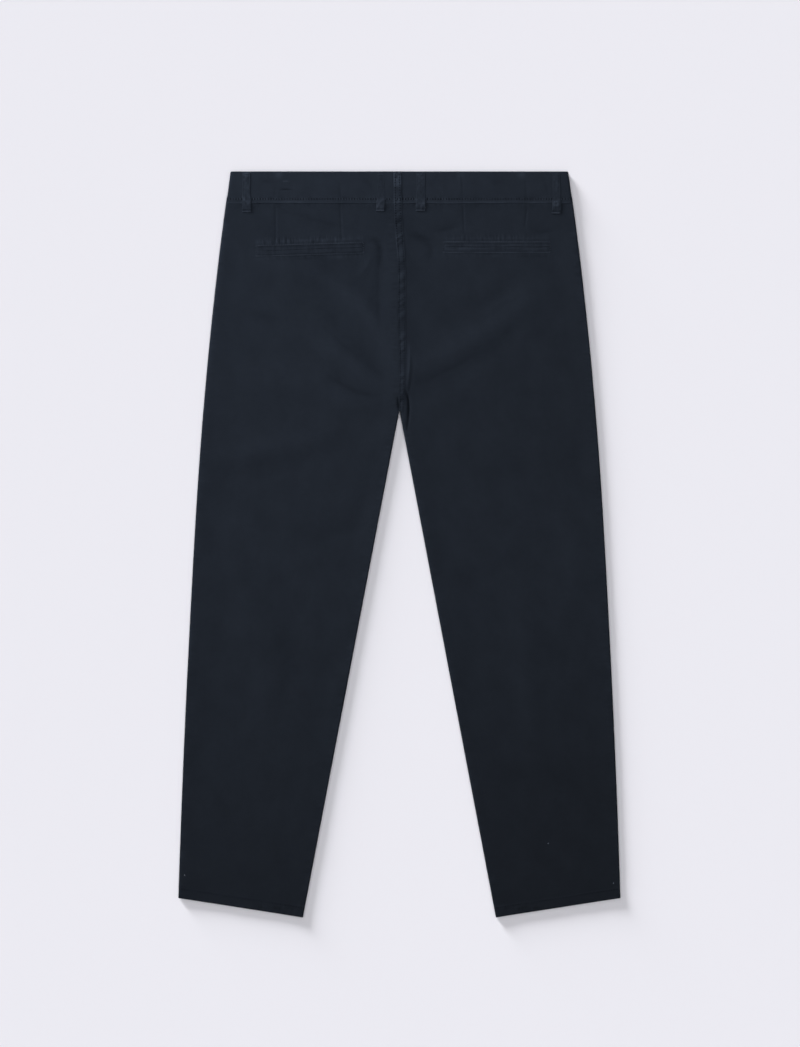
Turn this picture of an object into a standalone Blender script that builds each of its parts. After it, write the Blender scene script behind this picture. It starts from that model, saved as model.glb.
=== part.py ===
"""Chino trousers laid out flat on their front, with the back side up.

+X is the wearer's right, +Y runs up to the waist and +Z points up from the surface they lie on.
The origin is under the middle of their bounding box. Every "below" is a distance down from the
top of the waist. The fronts lie flat at the bottom, the backs lie on them and curl down to meet
them at the outseams and inseams, and the waistband turns round each side.
"""

import math
from collections import namedtuple

import bmesh
import bpy
import numpy as np
from mathutils import Vector
from mathutils.bvhtree import BVHTree

MM = 0.001
LEFT, RIGHT = -1, 1  # the wearer's sides, as the sign of X

# The cut
LENGTH = 1000 * MM  # waist to the hem's inseam corner
OUTSEAM_BELOW = 974 * MM  # waist to the hem's outseam corner
CROTCH_BELOW = 321 * MM
HEM_INSEAM_X = 129.5 * MM
WAIST_Y = LENGTH / 2
SideStation = namedtuple("SideStation", "below half_width")
SIDE = [
    SideStation(0 * MM, 226.4 * MM),  # waist
    SideStation(51 * MM, 233.7 * MM),  # just below the band
    SideStation(212 * MM, 252.8 * MM),  # hip
    SideStation(321 * MM, 262.9 * MM),  # crotch
    SideStation(650 * MM, 283.2 * MM),  # knee
    SideStation(880 * MM, 293.2 * MM),  # calf
    SideStation(974 * MM, 296.4 * MM),  # hem
]

# Cloth
WALL = 1.2 * MM
GAP = 0.3 * MM  # between neighbouring pieces
FLUSH = 0.2 * MM  # how far the trim on the underside stays up from the surface
HEM_DEPTH = 14 * MM
HEM_EXTRA = 0.4 * MM  # the turned-up cloth inside
ROLL_ANGLES = (0, 30, 60, 90)  # across a rolled edge, from the seam to the flat
ROLL_RUN = 25 * MM  # along the inseam, from the flat crotch to a fully rolled edge

# How high the back lies above the surface, at the seams and between them
Height = namedtuple("Height", "below height")
EDGE_HEIGHT = [
    Height(40 * MM, 6.0 * MM),
    Height(321 * MM, 5.2 * MM),
    Height(600 * MM, 4.7 * MM),
    Height(1000 * MM, 4.7 * MM),
]
MIDDLE_HEIGHT = [
    Height(40 * MM, 5.4 * MM),
    Height(120 * MM, 4.1 * MM),
    Height(250 * MM, 3.8 * MM),
    Height(450 * MM, 3.6 * MM),
    Height(750 * MM, 3.5 * MM),
    Height(1000 * MM, 3.8 * MM),
]
EDGE_REACH = 19 * MM  # how far the seam allowances hold the cloth up
SEAM_HOLD = 0.7  # how much of a fold the seams press flat
LEAST_HEIGHT = 2.8 * MM
SEAT_ROWS = 30
LEG_ROWS = 18
BACK_COLUMNS = 20  # between the rolled edges

# The felled centre-back seam: its left edge, and its width
SeamStation = namedtuple("SeamStation", "below x width")
CENTRE_SEAM = [
    SeamStation(0 * MM, -8.0 * MM, 11.0 * MM),
    SeamStation(64 * MM, -7.0 * MM, 12.0 * MM),
    SeamStation(121 * MM, -2.8 * MM, 12.0 * MM),
    SeamStation(199 * MM, -2.7 * MM, 12.0 * MM),
    SeamStation(232 * MM, -1.3 * MM, 9.4 * MM),
    SeamStation(321 * MM, 0.0 * MM, 5.5 * MM),
]
FELL_HEIGHT = 0.8 * MM
FELL_STEP = 1.0 * MM  # width of the step down at its right edge

# Waistband
BAND_DEPTH = 39.6 * MM
BAND_HEIGHT = 7.2 * MM
BAND_WALL = 1.8 * MM
BandRow = namedtuple("BandRow", "share inset")  # share of its depth, and how far its face dips
BAND_ROWS = [
    BandRow(0.00, 0.6 * MM),
    BandRow(0.04, 0.0 * MM),
    BandRow(0.50, -0.2 * MM),
    BandRow(0.95, 0.0 * MM),
    BandRow(1.00, 0.5 * MM),
]

# Slanted side pockets on the fronts
MOUTH_IN_TOP = 38 * MM  # from the outseam, at the waistband
MOUTH_IN_END = 6 * MM
MOUTH_END_BELOW = 190 * MM
FACING_RISE = 0.6 * MM  # the facing lies behind the front

# Folds in the back. Each runs from its start through its bend to its end.
# A ridge has a positive rise and a trough a negative one.
Fold = namedtuple("Fold", "x0 below0 x1 below1 x2 below2 half_width rise")
FOLDS = [  # all in millimetres
    # left seat, slanting down to the crotch
    Fold(-180, 116, -60, 168, -6, 254, 14, 2.4),
    Fold(-128, 216, -68, 252, -14, 292, 12, 1.7),
    Fold(-118, 178, -76, 210, -16, 276, 9, -0.9),
    Fold(-215, 186, -180, 200, -140, 204, 12, -0.7),
    Fold(-100, 282, -62, 308, -24, 314, 11, 1.2),
    # right seat, slanting up from the crotch
    Fold(14, 268, 104, 222, 190, 158, 16, 2.4),
    Fold(17, 298, 92, 264, 162, 206, 13, -0.8),
    Fold(60, 180, 112, 176, 170, 138, 13, -0.6),
    # beside the centre-back seam
    Fold(-27, 96, -24, 150, -24, 219, 11, -0.9),
    Fold(20, 90, 42, 96, 37, 130, 11, -0.7),
    Fold(13, 226, 15, 255, 12, 290, 9, 0.9),
    # between the waistband and the pockets
    Fold(-160, 52, -112, 71, -60, 80, 9, -0.7),
    Fold(46, 80, 66, 74, 84, 72, 8, -0.6),
    Fold(176, 80, 192, 77, 212, 77, 8, -0.6),
    # left leg
    Fold(-250, 376, -176, 372, -82, 346, 15, 0.7),
    Fold(-255, 398, -187, 402, -86, 374, 15, -0.7),
    Fold(-30, 392, -60, 474, -125, 487, 18, -0.6),
    Fold(-215, 600, -180, 690, -196, 800, 26, 0.8),
    Fold(-150, 560, -140, 640, -160, 730, 20, -0.6),
    # right leg
    Fold(60, 530, 100, 545, 150, 522, 16, -0.7),
    Fold(156, 560, 170, 670, 176, 790, 18, 1.0),
    Fold(130, 803, 200, 815, 270, 838, 18, -0.6),
    Fold(215, 420, 232, 520, 226, 620, 24, 0.7),
]
FOLD_STEPS = 16

# Jetted back pockets: the mouth's two ends
Pocket = namedtuple("Pocket", "side name x0 below0 x1 below1")
POCKETS = [
    Pocket(LEFT, "left", -191.8 * MM, 106.4 * MM, -48.2 * MM, 102.0 * MM),
    Pocket(RIGHT, "right", 59.2 * MM, 102.0 * MM, 201.9 * MM, 102.0 * MM),
]
WELT_DEPTH = 6.6 * MM
WELT_THICK = 0.9 * MM
WELT_STEPS = 16

# Belt loops
Loop = namedtuple("Loop", "name x width end_below")
BACK_LOOPS = [
    Loop("loop_side_left", -204.6 * MM, 12 * MM, 52.9 * MM),
    Loop("loop_back_left", -25.4 * MM, 11 * MM, 52.3 * MM),
    Loop("loop_back_right", 28.6 * MM, 13 * MM, 51.4 * MM),
    Loop("loop_side_right", 209.9 * MM, 12 * MM, 54.9 * MM),
]
LoopRow = namedtuple("LoopRow", "share clear thick")  # share of its length, gap below it
LOOP_ROWS = [
    LoopRow(0.00, 0.3 * MM, 1.4 * MM),
    LoopRow(0.05, 0.3 * MM, 2.0 * MM),
    LoopRow(0.20, 0.6 * MM, 1.4 * MM),
    LoopRow(0.45, 0.9 * MM, 1.3 * MM),
    LoopRow(0.70, 0.7 * MM, 1.4 * MM),
    LoopRow(0.82, 0.4 * MM, 2.0 * MM),
    LoopRow(0.97, 0.4 * MM, 2.0 * MM),
    LoopRow(1.00, 0.4 * MM, 1.2 * MM),
]
LOOP_TOP_BELOW = 1.0 * MM
FRONT_LOOP_X = 118 * MM
FRONT_LOOP_WIDTH = 12 * MM
FRONT_LOOP_THICK = 1.3 * MM
FRONT_LOOP_BELOW = (1.5 * MM, 38 * MM)
RECESS_RAMP = (1 * MM, 4 * MM)  # where its slope starts and ends beside a loop
LOOP_RECESS = FLUSH + FRONT_LOOP_THICK + GAP  # the band rides over the front loops

# Waist button, in the left half's end
BUTTON_X = -14 * MM
BUTTON_BELOW = 20 * MM
BUTTON_RADIUS = 8.5 * MM
BUTTON_THICK = 1.1 * MM
BUTTON_HOLES = 4
BUTTON_HOLE_RADIUS = 1.0 * MM
BUTTON_HOLE_RING = 2.0 * MM

Finish = namedtuple("Finish", "name colour roughness")
TWILL = Finish("navy twill", (0.017, 0.021, 0.028), 0.9)
HORN = Finish("dark horn", (0.012, 0.012, 0.014), 0.45)

for old in list(bpy.data.objects):
    bpy.data.objects.remove(old)


def through(table, at, column=1):
    """The smooth curve through one column of a table, read at a distance in its first column."""
    xs = [row[0] for row in table]
    ys = [row[column] for row in table]
    slopes = np.gradient(ys, xs)
    i = int(np.clip(np.searchsorted(xs, at) - 1, 0, len(xs) - 2))
    span = xs[i + 1] - xs[i]
    t = min(max((at - xs[i]) / span, 0), 1)
    start = (1 + 2 * t) * (1 - t) ** 2 * ys[i] + t * (1 - t) ** 2 * span * slopes[i]
    end = t * t * (3 - 2 * t) * ys[i + 1] + t * t * (t - 1) * span * slopes[i + 1]
    return float(start + end)


def step(low, high, value):
    """0 up to low and 1 from high on, with a smooth rise between."""
    t = min(max((value - low) / (high - low), 0), 1)
    return t * t * (3 - 2 * t)


def mix(a, b, share):
    return a + (b - a) * share


def inseam_x(below):
    return max(0, below - CROTCH_BELOW) / (LENGTH - CROTCH_BELOW) * HEM_INSEAM_X


def outseam_below(below):
    """Where the row that starts this far down the centre or inseam meets the outseam."""
    share = (below - BAND_DEPTH) / (LENGTH - BAND_DEPTH)
    return mix(BAND_DEPTH, OUTSEAM_BELOW, share)


def fold_lines():
    """Each fold as points along its curve, with the share of its rise that each point has."""
    lines = []
    for f in FOLDS:
        a, b, c = (Vector(p) for p in ((f.x0, f.below0), (f.x1, f.below1), (f.x2, f.below2)))
        control = 2 * b - (a + c) / 2  # so that the curve goes through the bend
        t = np.linspace(0, 1, FOLD_STEPS)[:, None]
        points = (1 - t) ** 2 * np.array(a) + 2 * t * (1 - t) * np.array(control) + t * t * np.array(c)
        taper = np.sin(math.pi * (0.06 + 0.88 * t[:, 0])) ** 0.7
        lines.append((points * MM, taper, f.half_width * MM, f.rise * MM))
    return lines


FOLD_LINES = fold_lines()


def folds_at(x, below):
    total = 0
    for points, taper, half_width, rise in FOLD_LINES:
        away = np.hypot(points[:, 0] - x, points[:, 1] - below)
        total += rise * float((taper * np.exp(-((away / half_width) ** 2))).max())
    return total


def back_height(x, below, from_seam, from_side):
    """Height of the back's outer face, from its distances to the inner and outer seams."""
    edge, middle = through(EDGE_HEIGHT, below), through(MIDDLE_HEIGHT, below)
    near = math.exp(-((from_side / EDGE_REACH) ** 2)) + math.exp(-((from_seam / EDGE_REACH) ** 2))
    near = min(near, 1)
    folds = (1 - SEAM_HOLD * near) * folds_at(x, below)
    return max(mix(middle, edge, near) + folds, LEAST_HEIGHT)


def cloth(name, rows, finish=TWILL):
    """One closed piece of cloth. Each row is a list of (outer point, inner point) pairs."""
    across, down = len(rows[0]) - 1, len(rows) - 1
    bm = bmesh.new()
    bmesh.ops.create_grid(bm, x_segments=across, y_segments=down, size=0.5)
    fresh = bmesh.ops.extrude_face_region(bm, geom=bm.faces[:])["geom"]
    inner = {g for g in fresh if isinstance(g, bmesh.types.BMVert)}
    for v in bm.verts:
        pair = rows[round((v.co.y + 0.5) * down)][round((v.co.x + 0.5) * across)]
        v.co = pair[v in inner]
    return finished(name, bm, finish)


def finished(name, bm, finish):
    """The object, shaded smooth, with its own material."""
    bmesh.ops.recalc_face_normals(bm, faces=bm.faces)
    mesh = bpy.data.meshes.new(name)
    bm.to_mesh(mesh)
    bm.free()
    mesh.shade_smooth()
    mesh.set_sharp_from_angle(angle=math.radians(40))
    material = bpy.data.materials.new(f"{name} {finish.name}")
    material.use_nodes = True
    shader = material.node_tree.nodes["Principled BSDF"]
    shader.inputs["Base Color"].default_value = (*finish.colour, 1)
    shader.inputs["Roughness"].default_value = finish.roughness
    mesh.materials.append(material)
    piece = bpy.data.objects.new(name, mesh)
    bpy.context.collection.objects.link(piece)
    return piece


def panel_row(start, end, seam_height, heights, columns, rolled):
    """One row across a panel, with each end rolled round to the seam by a share from 0 to 1.

    heights gives the outer and the inner face's height at a point, from its distances to the
    two ends. columns holds each point's distance from the start and its angle round a rolled end.
    """
    along = (end - start).normalized()
    length = (end - start).length
    row = []
    for distance, angle, at_end in columns:
        roll = rolled[at_end]
        turn = math.sin(math.radians(angle))
        at = start + along * distance
        top, under = heights(at, distance, length - distance)
        radius = abs(top - seam_height)
        back_in = radius - (radius - WALL) * math.cos(math.radians(angle))
        inner_distance = length - back_in if at_end else back_in
        inner_distance = mix(distance, inner_distance, roll) if angle < 90 else distance
        inner_at = start + along * inner_distance
        outer_z = mix(top, mix(seam_height, top, turn), roll)
        inner_z = mix(under, mix(seam_height, under, turn), roll)
        row.append((Vector((at.x, at.y, outer_z)), Vector((inner_at.x, inner_at.y, inner_z))))
    return row


def panel_columns(length, radius, flat):
    """The rolled start, the flat distances between, and the rolled end."""
    rolled = [(radius * (1 - math.cos(math.radians(a))), a) for a in ROLL_ANGLES]
    start = [(distance, angle, 0) for distance, angle in rolled]
    middle = [(distance, 90, 0) for distance in flat]
    end = [(length - distance, angle, 1) for distance, angle in reversed(rolled)]
    return start + middle + end


def back(side, name):
    """A back panel, from the waistband to the hem. The right one carries the felled seam."""
    seat = np.linspace(BAND_DEPTH + GAP, CROTCH_BELOW, SEAT_ROWS)
    leg = np.linspace(CROTCH_BELOW + ROLL_RUN, LENGTH - HEM_DEPTH - 12 * MM, LEG_ROWS)
    hem = [LENGTH - HEM_DEPTH - 1 * MM, LENGTH - HEM_DEPTH, LENGTH - 1 * MM, LENGTH]
    crotch = [CROTCH_BELOW + ROLL_RUN * share for share in (0.2, 0.5)]
    rows = []
    for below in [*seat, *crotch, *leg, *hem]:
        side_below = outseam_below(below)
        seam_x = through(CENTRE_SEAM, below) if below < CROTCH_BELOW else 0
        start = Vector((seam_x + side * (GAP / 2 + inseam_x(below)), WAIST_Y - below))
        end = Vector((side * through(SIDE, side_below), WAIST_Y - side_below))
        length = (end - start).length
        edge = through(EDGE_HEIGHT, below)
        hem_lift = HEM_EXTRA * step(LENGTH - HEM_DEPTH - 1 * MM, LENGTH - HEM_DEPTH, below)
        hem_lift -= HEM_EXTRA * step(LENGTH - 1 * MM, LENGTH, below)
        fell = through(CENTRE_SEAM, below, 2)
        fell_rise = FELL_HEIGHT * step(CROTCH_BELOW, CROTCH_BELOW - 20 * MM, below) * (side == RIGHT)

        def heights(at, from_seam, from_side):
            height = back_height(at.x, WAIST_Y - at.y, from_seam, from_side)
            extra = hem_lift + fell_rise * step(fell, fell - FELL_STEP, from_seam)
            return height + extra, height - WALL

        radius = edge / 2
        first, last = fell + 1 * MM, length - radius
        flat = [fell - FELL_STEP, fell, *np.linspace(first, last, BACK_COLUMNS + 2)[1:-1]]
        columns = panel_columns(length, radius, flat)
        rolled = (step(CROTCH_BELOW, CROTCH_BELOW + ROLL_RUN, below), 1)
        rows.append(panel_row(start, end, edge / 2 + GAP / 2, heights, columns, rolled))
    return cloth(name, rows)


def mouth_in(below):
    """How far the side pocket's mouth is from the outseam."""
    return mix(MOUTH_IN_TOP, MOUTH_IN_END, (below - BAND_DEPTH) / (MOUTH_END_BELOW - BAND_DEPTH))


def front_rows(side, belows, start_in, end_in, rise, flat_count, rolled):
    """Rows of a front or a facing between two distances in from the outseam.

    A front has no start_in: it starts at the centre or the inseam.
    """

    def heights(at, from_start, from_end):
        return rise, rise + WALL

    rows = []
    for below in belows:
        side_below = outseam_below(below)
        inner_end = Vector((side * (GAP / 2 + inseam_x(below)), WAIST_Y - below))
        outer_end = Vector((side * through(SIDE, side_below), WAIST_Y - side_below))
        along = (outer_end - inner_end).normalized()
        start = outer_end - along * start_in(below) if start_in else inner_end
        end = outer_end - along * end_in(below)
        length = (end - start).length
        edge = through(EDGE_HEIGHT, below)
        radius = min(edge / 2, length / 3)
        flat = np.linspace(radius, length - radius, flat_count + 2)[1:-1]
        columns = panel_columns(length, radius, flat)
        rows.append(panel_row(start, end, edge / 2 - GAP / 2, heights, columns, rolled(below)))
    return rows


def front(side, name):
    """A front panel, cut away along the side pocket's slanted mouth."""
    seat = [*np.linspace(BAND_DEPTH + GAP, MOUTH_END_BELOW, 6), MOUTH_END_BELOW + GAP]
    seat += [*np.linspace(MOUTH_END_BELOW + 30 * MM, CROTCH_BELOW, 4)]
    leg = [*np.linspace(CROTCH_BELOW + ROLL_RUN, LENGTH, 14)]
    belows = [*seat, CROTCH_BELOW + 0.2 * ROLL_RUN, CROTCH_BELOW + 0.5 * ROLL_RUN, *leg]

    def end_in(below):
        return mouth_in(below) + GAP if below <= MOUTH_END_BELOW else 0

    def rolled(below):
        return step(CROTCH_BELOW, CROTCH_BELOW + ROLL_RUN, below), int(below > MOUTH_END_BELOW)

    return cloth(name, front_rows(side, belows, None, end_in, 0, 3, rolled))


def facing(side, name):
    """The cloth that shows behind the side pocket's mouth."""
    belows = np.linspace(BAND_DEPTH + GAP, MOUTH_END_BELOW - GAP, 6)
    rows = front_rows(side, belows, mouth_in, lambda below: 0, FACING_RISE, 1, lambda below: (0, 1))
    return cloth(name, rows)


def recess(x):
    """How far the band's front rides up over a front loop."""
    away = abs(abs(x) - FRONT_LOOP_X) - FRONT_LOOP_WIDTH / 2
    return LOOP_RECESS * step(RECESS_RAMP[1], RECESS_RAMP[0], away)


def waistband(side, name):
    """Half the waistband: along the front, round the side's fold and along the back."""
    rows = []
    beside = [FRONT_LOOP_WIDTH / 2 + away for away in RECESS_RAMP]
    loop_edges = [FRONT_LOOP_X + away for away in (-beside[1], -beside[0], *beside)]
    for band_row in BAND_ROWS:
        below = BAND_DEPTH * band_row.share
        width = through(SIDE, below)
        seam_x = through(CENTRE_SEAM, below)
        fell = through(CENTRE_SEAM, below, 2)
        radius = BAND_HEIGHT / 2
        y = WAIST_Y - below
        row = []
        for x in [GAP / 2, 40 * MM, 80 * MM, *loop_edges, 170 * MM]:
            lift = recess(x)
            row.append((Vector((side * x, y, lift)), Vector((side * x, y, lift + BAND_WALL))))
        for angle in np.radians(np.linspace(-90, 90, 9)):
            points = []
            for r in (radius - band_row.inset * (1 + math.sin(angle)) / 2, radius - BAND_WALL):
                x = width - radius + r * math.cos(angle)
                points.append(Vector((side * x, y, radius + r * math.sin(angle))))
            row.append(tuple(points))
        inner_x = side * seam_x + GAP / 2
        fell_edges = [fell, fell - FELL_STEP] if side == RIGHT else []
        back_xs = [*np.linspace(width - radius - 14 * MM, 24 * MM, 12)]
        back_xs += [inner_x + away for away in fell_edges] + [inner_x]
        for x in back_xs:
            lift = FELL_HEIGHT * step(fell, fell - FELL_STEP, x - inner_x) * (side == RIGHT)
            top = BAND_HEIGHT - band_row.inset + lift
            under = BAND_HEIGHT - BAND_WALL
            row.append((Vector((side * x, y, top)), Vector((side * x, y, under))))
        rows.append(row)
    return cloth(name, rows)


def tree_of(pieces):
    """The pieces' faces together, for laying other cloth on them."""
    points, faces = [], []
    for piece in pieces:
        first = len(points)
        points += [v.co.copy() for v in piece.data.vertices]
        faces += [[first + i for i in p.vertices] for p in piece.data.polygons]
    return BVHTree.FromPolygons(points, faces)


def highest(tree, x, y, reach):
    """The highest point of the cloth below a small square."""
    top = 0
    for dx in (-reach, 0, reach):
        for dy in (-reach, 0, reach):
            hit = tree.ray_cast(Vector((x + dx, y + dy, 1)), Vector((0, 0, -1)))[0]
            top = max(top, hit.z) if hit else top
    return top


def welts(pocket, tree):
    """The upper and the lower welt of a back pocket, with the mouth between them."""
    start = Vector((pocket.x0, WAIST_Y - pocket.below0))
    end = Vector((pocket.x1, WAIST_Y - pocket.below1))
    up = Vector((start.y - end.y, end.x - start.x)).normalized()
    reach = (end - start).length / (WELT_STEPS - 1) / 2
    for which, near in (("upper", GAP / 2), ("lower", -GAP / 2 - WELT_DEPTH)):
        rows = []
        for share in np.linspace(0, 1, WELT_STEPS):
            middle = start.lerp(end, share) + up * (near + WELT_DEPTH / 2)
            base = highest(tree, middle.x, middle.y, reach) + GAP
            row = []
            for across, thick in ((-0.5, 0.5), (-0.25, 1), (0.25, 1), (0.5, 0.5)):
                at = middle + up * WELT_DEPTH * across
                outer = Vector((at.x, at.y, base + WELT_THICK * thick))
                row.append((outer, Vector((at.x, at.y, base))))
            rows.append(row)
        cloth(f"welt_{which}_{pocket.name}", rows)


def belt_loop(loop, tree):
    """A belt loop, over the waistband and tacked to the back below it."""
    rows = []
    for loop_row in LOOP_ROWS:
        y = WAIST_Y - mix(LOOP_TOP_BELOW, loop.end_below, loop_row.share)
        base = max(highest(tree, loop.x + dx, y, 2 * MM) for dx in (-4 * MM, 0, 4 * MM))
        base += loop_row.clear
        row = []
        for across, thick in ((-0.5, 0.6), (-0.36, 1), (0.36, 1), (0.5, 0.6)):
            x = loop.x + loop.width * across
            row.append((Vector((x, y, base + loop_row.thick * thick)), Vector((x, y, base))))
        rows.append(row)
    cloth(loop.name, rows)


def front_loop(side, name):
    """A front belt loop, pressed flat into the band above it."""
    rows = []
    for y in (WAIST_Y - below for below in FRONT_LOOP_BELOW):
        row = []
        for across in (-0.5, 0.5):
            x = side * FRONT_LOOP_X + FRONT_LOOP_WIDTH * across
            row.append((Vector((x, y, FLUSH)), Vector((x, y, FLUSH + FRONT_LOOP_THICK))))
        rows.append(row)
    cloth(name, rows)


def disc(name, x, y, radius, low, high, segments, finish=HORN):
    """An upright round slab, as a piece or a cutter."""
    bm = bmesh.new()
    bmesh.ops.create_cone(
        bm, cap_ends=True, segments=segments, radius1=radius, radius2=radius, depth=high - low
    )
    bmesh.ops.translate(bm, vec=Vector((x, y, (low + high) / 2)), verts=bm.verts)
    return finished(name, bm, finish)


def cut(piece, cutter):
    """Takes the cutter's shape out of the piece."""
    cutter.hide_render = True
    cutter.display_type = "WIRE"
    boolean = piece.modifiers.new(cutter.name, "BOOLEAN")
    boolean.operation = "DIFFERENCE"
    boolean.solver = "EXACT"
    boolean.object = cutter


def waist_button(band):
    """The button through the left half of the band, with four thread holes."""
    y = WAIST_Y - BUTTON_BELOW
    seat = disc("button_seat", BUTTON_X, y, BUTTON_RADIUS + GAP, -1 * MM, BUTTON_THICK + GAP, 32)
    cut(band, seat)
    button = disc("waist_button", BUTTON_X, y, BUTTON_RADIUS, FLUSH, BUTTON_THICK, 32)
    for i in range(BUTTON_HOLES):
        angle = math.tau * (i + 0.5) / BUTTON_HOLES
        x = BUTTON_X + BUTTON_HOLE_RING * math.cos(angle)
        hole_y = y + BUTTON_HOLE_RING * math.sin(angle)
        name = f"thread_hole_{i}"
        cut(button, disc(name, x, hole_y, BUTTON_HOLE_RADIUS, -1 * MM, 2 * BUTTON_THICK, 10))


back_left = back(LEFT, "back_left")
back_right = back(RIGHT, "back_right")
for side, word in ((LEFT, "left"), (RIGHT, "right")):
    front(side, f"front_{word}")
    facing(side, f"pocket_facing_{word}")
    front_loop(side, f"loop_front_{word}")
band_left = waistband(LEFT, "waistband_left")
band_right = waistband(RIGHT, "waistband_right")
waist_button(band_left)
under = tree_of([back_left, back_right, band_left, band_right])
for pocket in POCKETS:
    welts(pocket, under)
for loop in BACK_LOOPS:
    belt_loop(loop, under)
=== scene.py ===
import math
from collections import namedtuple

import bmesh
import bpy
import numpy as np
from mathutils import Matrix, Vector
from mathutils.bvhtree import BVHTree


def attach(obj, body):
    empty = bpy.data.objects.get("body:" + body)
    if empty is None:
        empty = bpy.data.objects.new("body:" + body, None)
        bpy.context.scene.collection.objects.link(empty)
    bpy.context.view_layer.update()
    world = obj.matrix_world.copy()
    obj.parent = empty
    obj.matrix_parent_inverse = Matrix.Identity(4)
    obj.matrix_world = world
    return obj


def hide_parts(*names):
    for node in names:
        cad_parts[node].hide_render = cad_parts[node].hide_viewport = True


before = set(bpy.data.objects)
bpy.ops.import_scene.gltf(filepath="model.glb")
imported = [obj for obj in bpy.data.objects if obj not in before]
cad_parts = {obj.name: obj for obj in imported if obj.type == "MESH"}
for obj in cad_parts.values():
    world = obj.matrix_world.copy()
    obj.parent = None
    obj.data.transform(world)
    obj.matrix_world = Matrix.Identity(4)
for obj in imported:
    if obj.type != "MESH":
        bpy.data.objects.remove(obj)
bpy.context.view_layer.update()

# Back panels. Each leg's back is one length of garment-dyed cotton twill, cut from the waistband
# to the hem and sewn to its front along the outseam and the inseam. It lies on the front, rolls
# down to it at both seams, and is pulled into slanting folds towards the crotch.

MM = 0.001
LEFT, RIGHT = -1, 1  # the wearer's sides, as the sign of X
SIDES = ((LEFT, "left"), (RIGHT, "right"))
LENGTH = 1000 * MM  # waist to the hem's inseam corner
OUTSEAM_BELOW = 974 * MM  # waist to the hem's outseam corner
CROTCH_BELOW = 319.5 * MM
HEM_INSEAM_X = 129.5 * MM
WAIST_Y = LENGTH / 2
BAND_DEPTH = 39.6 * MM  # waist to the waistband's seam
BAND_HEM = 43.0 * MM  # waist to the waistband's lower edge, which laps over the seam


def in_mm(kind, rows, shares=""):
    """A table of lengths, given in millimetres. The columns named in shares have no unit."""
    units = [1 if column in shares.split() else MM for column in kind._fields]
    return [kind(*(value * unit for value, unit in zip(row, units))) for row in rows]


SideStation = namedtuple("SideStation", "below half_width")
SIDE = in_mm(SideStation, [
    (0, 226.4),  # waist
    (51, 233.7),
    (212, 252.8),  # hip
    (321, 262.9),  # crotch
    (650, 283.2),  # knee
    (880, 293.2),
    (974, 296.4),  # hem
])
Height = namedtuple("Height", "below height")
EDGE_HEIGHT = in_mm(Height, [  # over the seams
    (40, 6.2),
    (321, 5.2),
    (600, 4.7),
    (1000, 4.7),
])
MIDDLE_HEIGHT = in_mm(Height, [  # halfway across
    (40, 5.9),
    (60, 5.1),
    (120, 4.2),
    (250, 3.8),
    (450, 3.6),
    (750, 3.5),
    (1000, 3.8),
])
EDGE_REACH = 19 * MM  # how far the seam allowances hold the cloth up
SEAM_HOLD = 0.7  # how much of a fold the seams press flat
LEAST_HEIGHT = 2.8 * MM
ROLL_RUN = 25 * MM  # along the inseam, from the flat crotch to a fully rolled edge
SeamStation = namedtuple("SeamStation", "below x width")
CENTRE_SEAM = in_mm(SeamStation, [  # its left edge, and its width
    (0, -8.0, 11.0),
    (64, -7.0, 12.0),
    (121, -2.8, 12.0),
    (199, -2.7, 12.0),
    (232, -1.3, 10.8),
    (321, 0.0, 7.2),
])
FELL_HEIGHT = 0.8 * MM
FELL_STEP = 1.0 * MM
HEM_DEPTH = 14 * MM
HEM_EXTRA = 0.4 * MM
HEM_RAMP = 0.6 * MM  # how far the cloth rises to the waistband's edge
CLOTH = 0.7 * MM  # one layer of twill

# Each fold runs from its start through its bend to its end, in millimetres. A ridge has a
# positive rise and a trough a negative one, and a crisp one comes to a sharper line.
SOFT, CRISP = 2.0, 1.15
Fold = namedtuple("Fold", "x0 below0 x1 below1 x2 below2 half_width rise crisp", defaults=[SOFT])
FOLDS = [Fold(*row) for row in (
    # left seat, slanting down to the crotch
    (-180, 116, -60, 168, -6, 254, 13, 2.7),
    (-128, 216, -68, 252, -14, 292, 12, 1.7),
    (-118, 178, -76, 210, -16, 276, 9, -0.9),
    (-215, 186, -180, 200, -140, 204, 12, -0.7),
    (-100, 282, -62, 308, -24, 314, 11, 1.2),
    # right seat, slanting up from the crotch
    (14, 268, 104, 222, 190, 158, 16, 2.1),
    (17, 298, 92, 264, 162, 206, 13, -0.8),
    (60, 180, 112, 176, 170, 138, 13, -0.6),
    # beside the centre-back seam
    (-27, 96, -24, 150, -24, 219, 11, -0.6),
    (20, 90, 42, 96, 37, 130, 11, -0.7),
    (13, 226, 15, 255, 12, 290, 9, 0.9),
    # between the waistband and the pockets
    (-160, 52, -112, 71, -60, 80, 9, -0.7),
    (46, 80, 66, 74, 84, 72, 8, -0.6),
    (176, 80, 192, 77, 212, 77, 8, -0.6),
    # left leg
    (-250, 376, -176, 372, -82, 346, 14, 1.1),
    (-255, 398, -187, 402, -86, 374, 14, -1.1),
    (-30, 392, -60, 474, -125, 487, 17, -0.9),
    (-215, 600, -180, 690, -196, 800, 24, 1.1),
    (-150, 560, -140, 640, -160, 730, 19, -0.8),
    # right leg
    (60, 530, 100, 545, 150, 522, 15, -1.0),
    (156, 560, 170, 670, 176, 790, 18, 1.4),
    (130, 803, 200, 815, 270, 838, 17, -0.9),
    (215, 420, 232, 520, 226, 620, 22, 1.0),
)]
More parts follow.
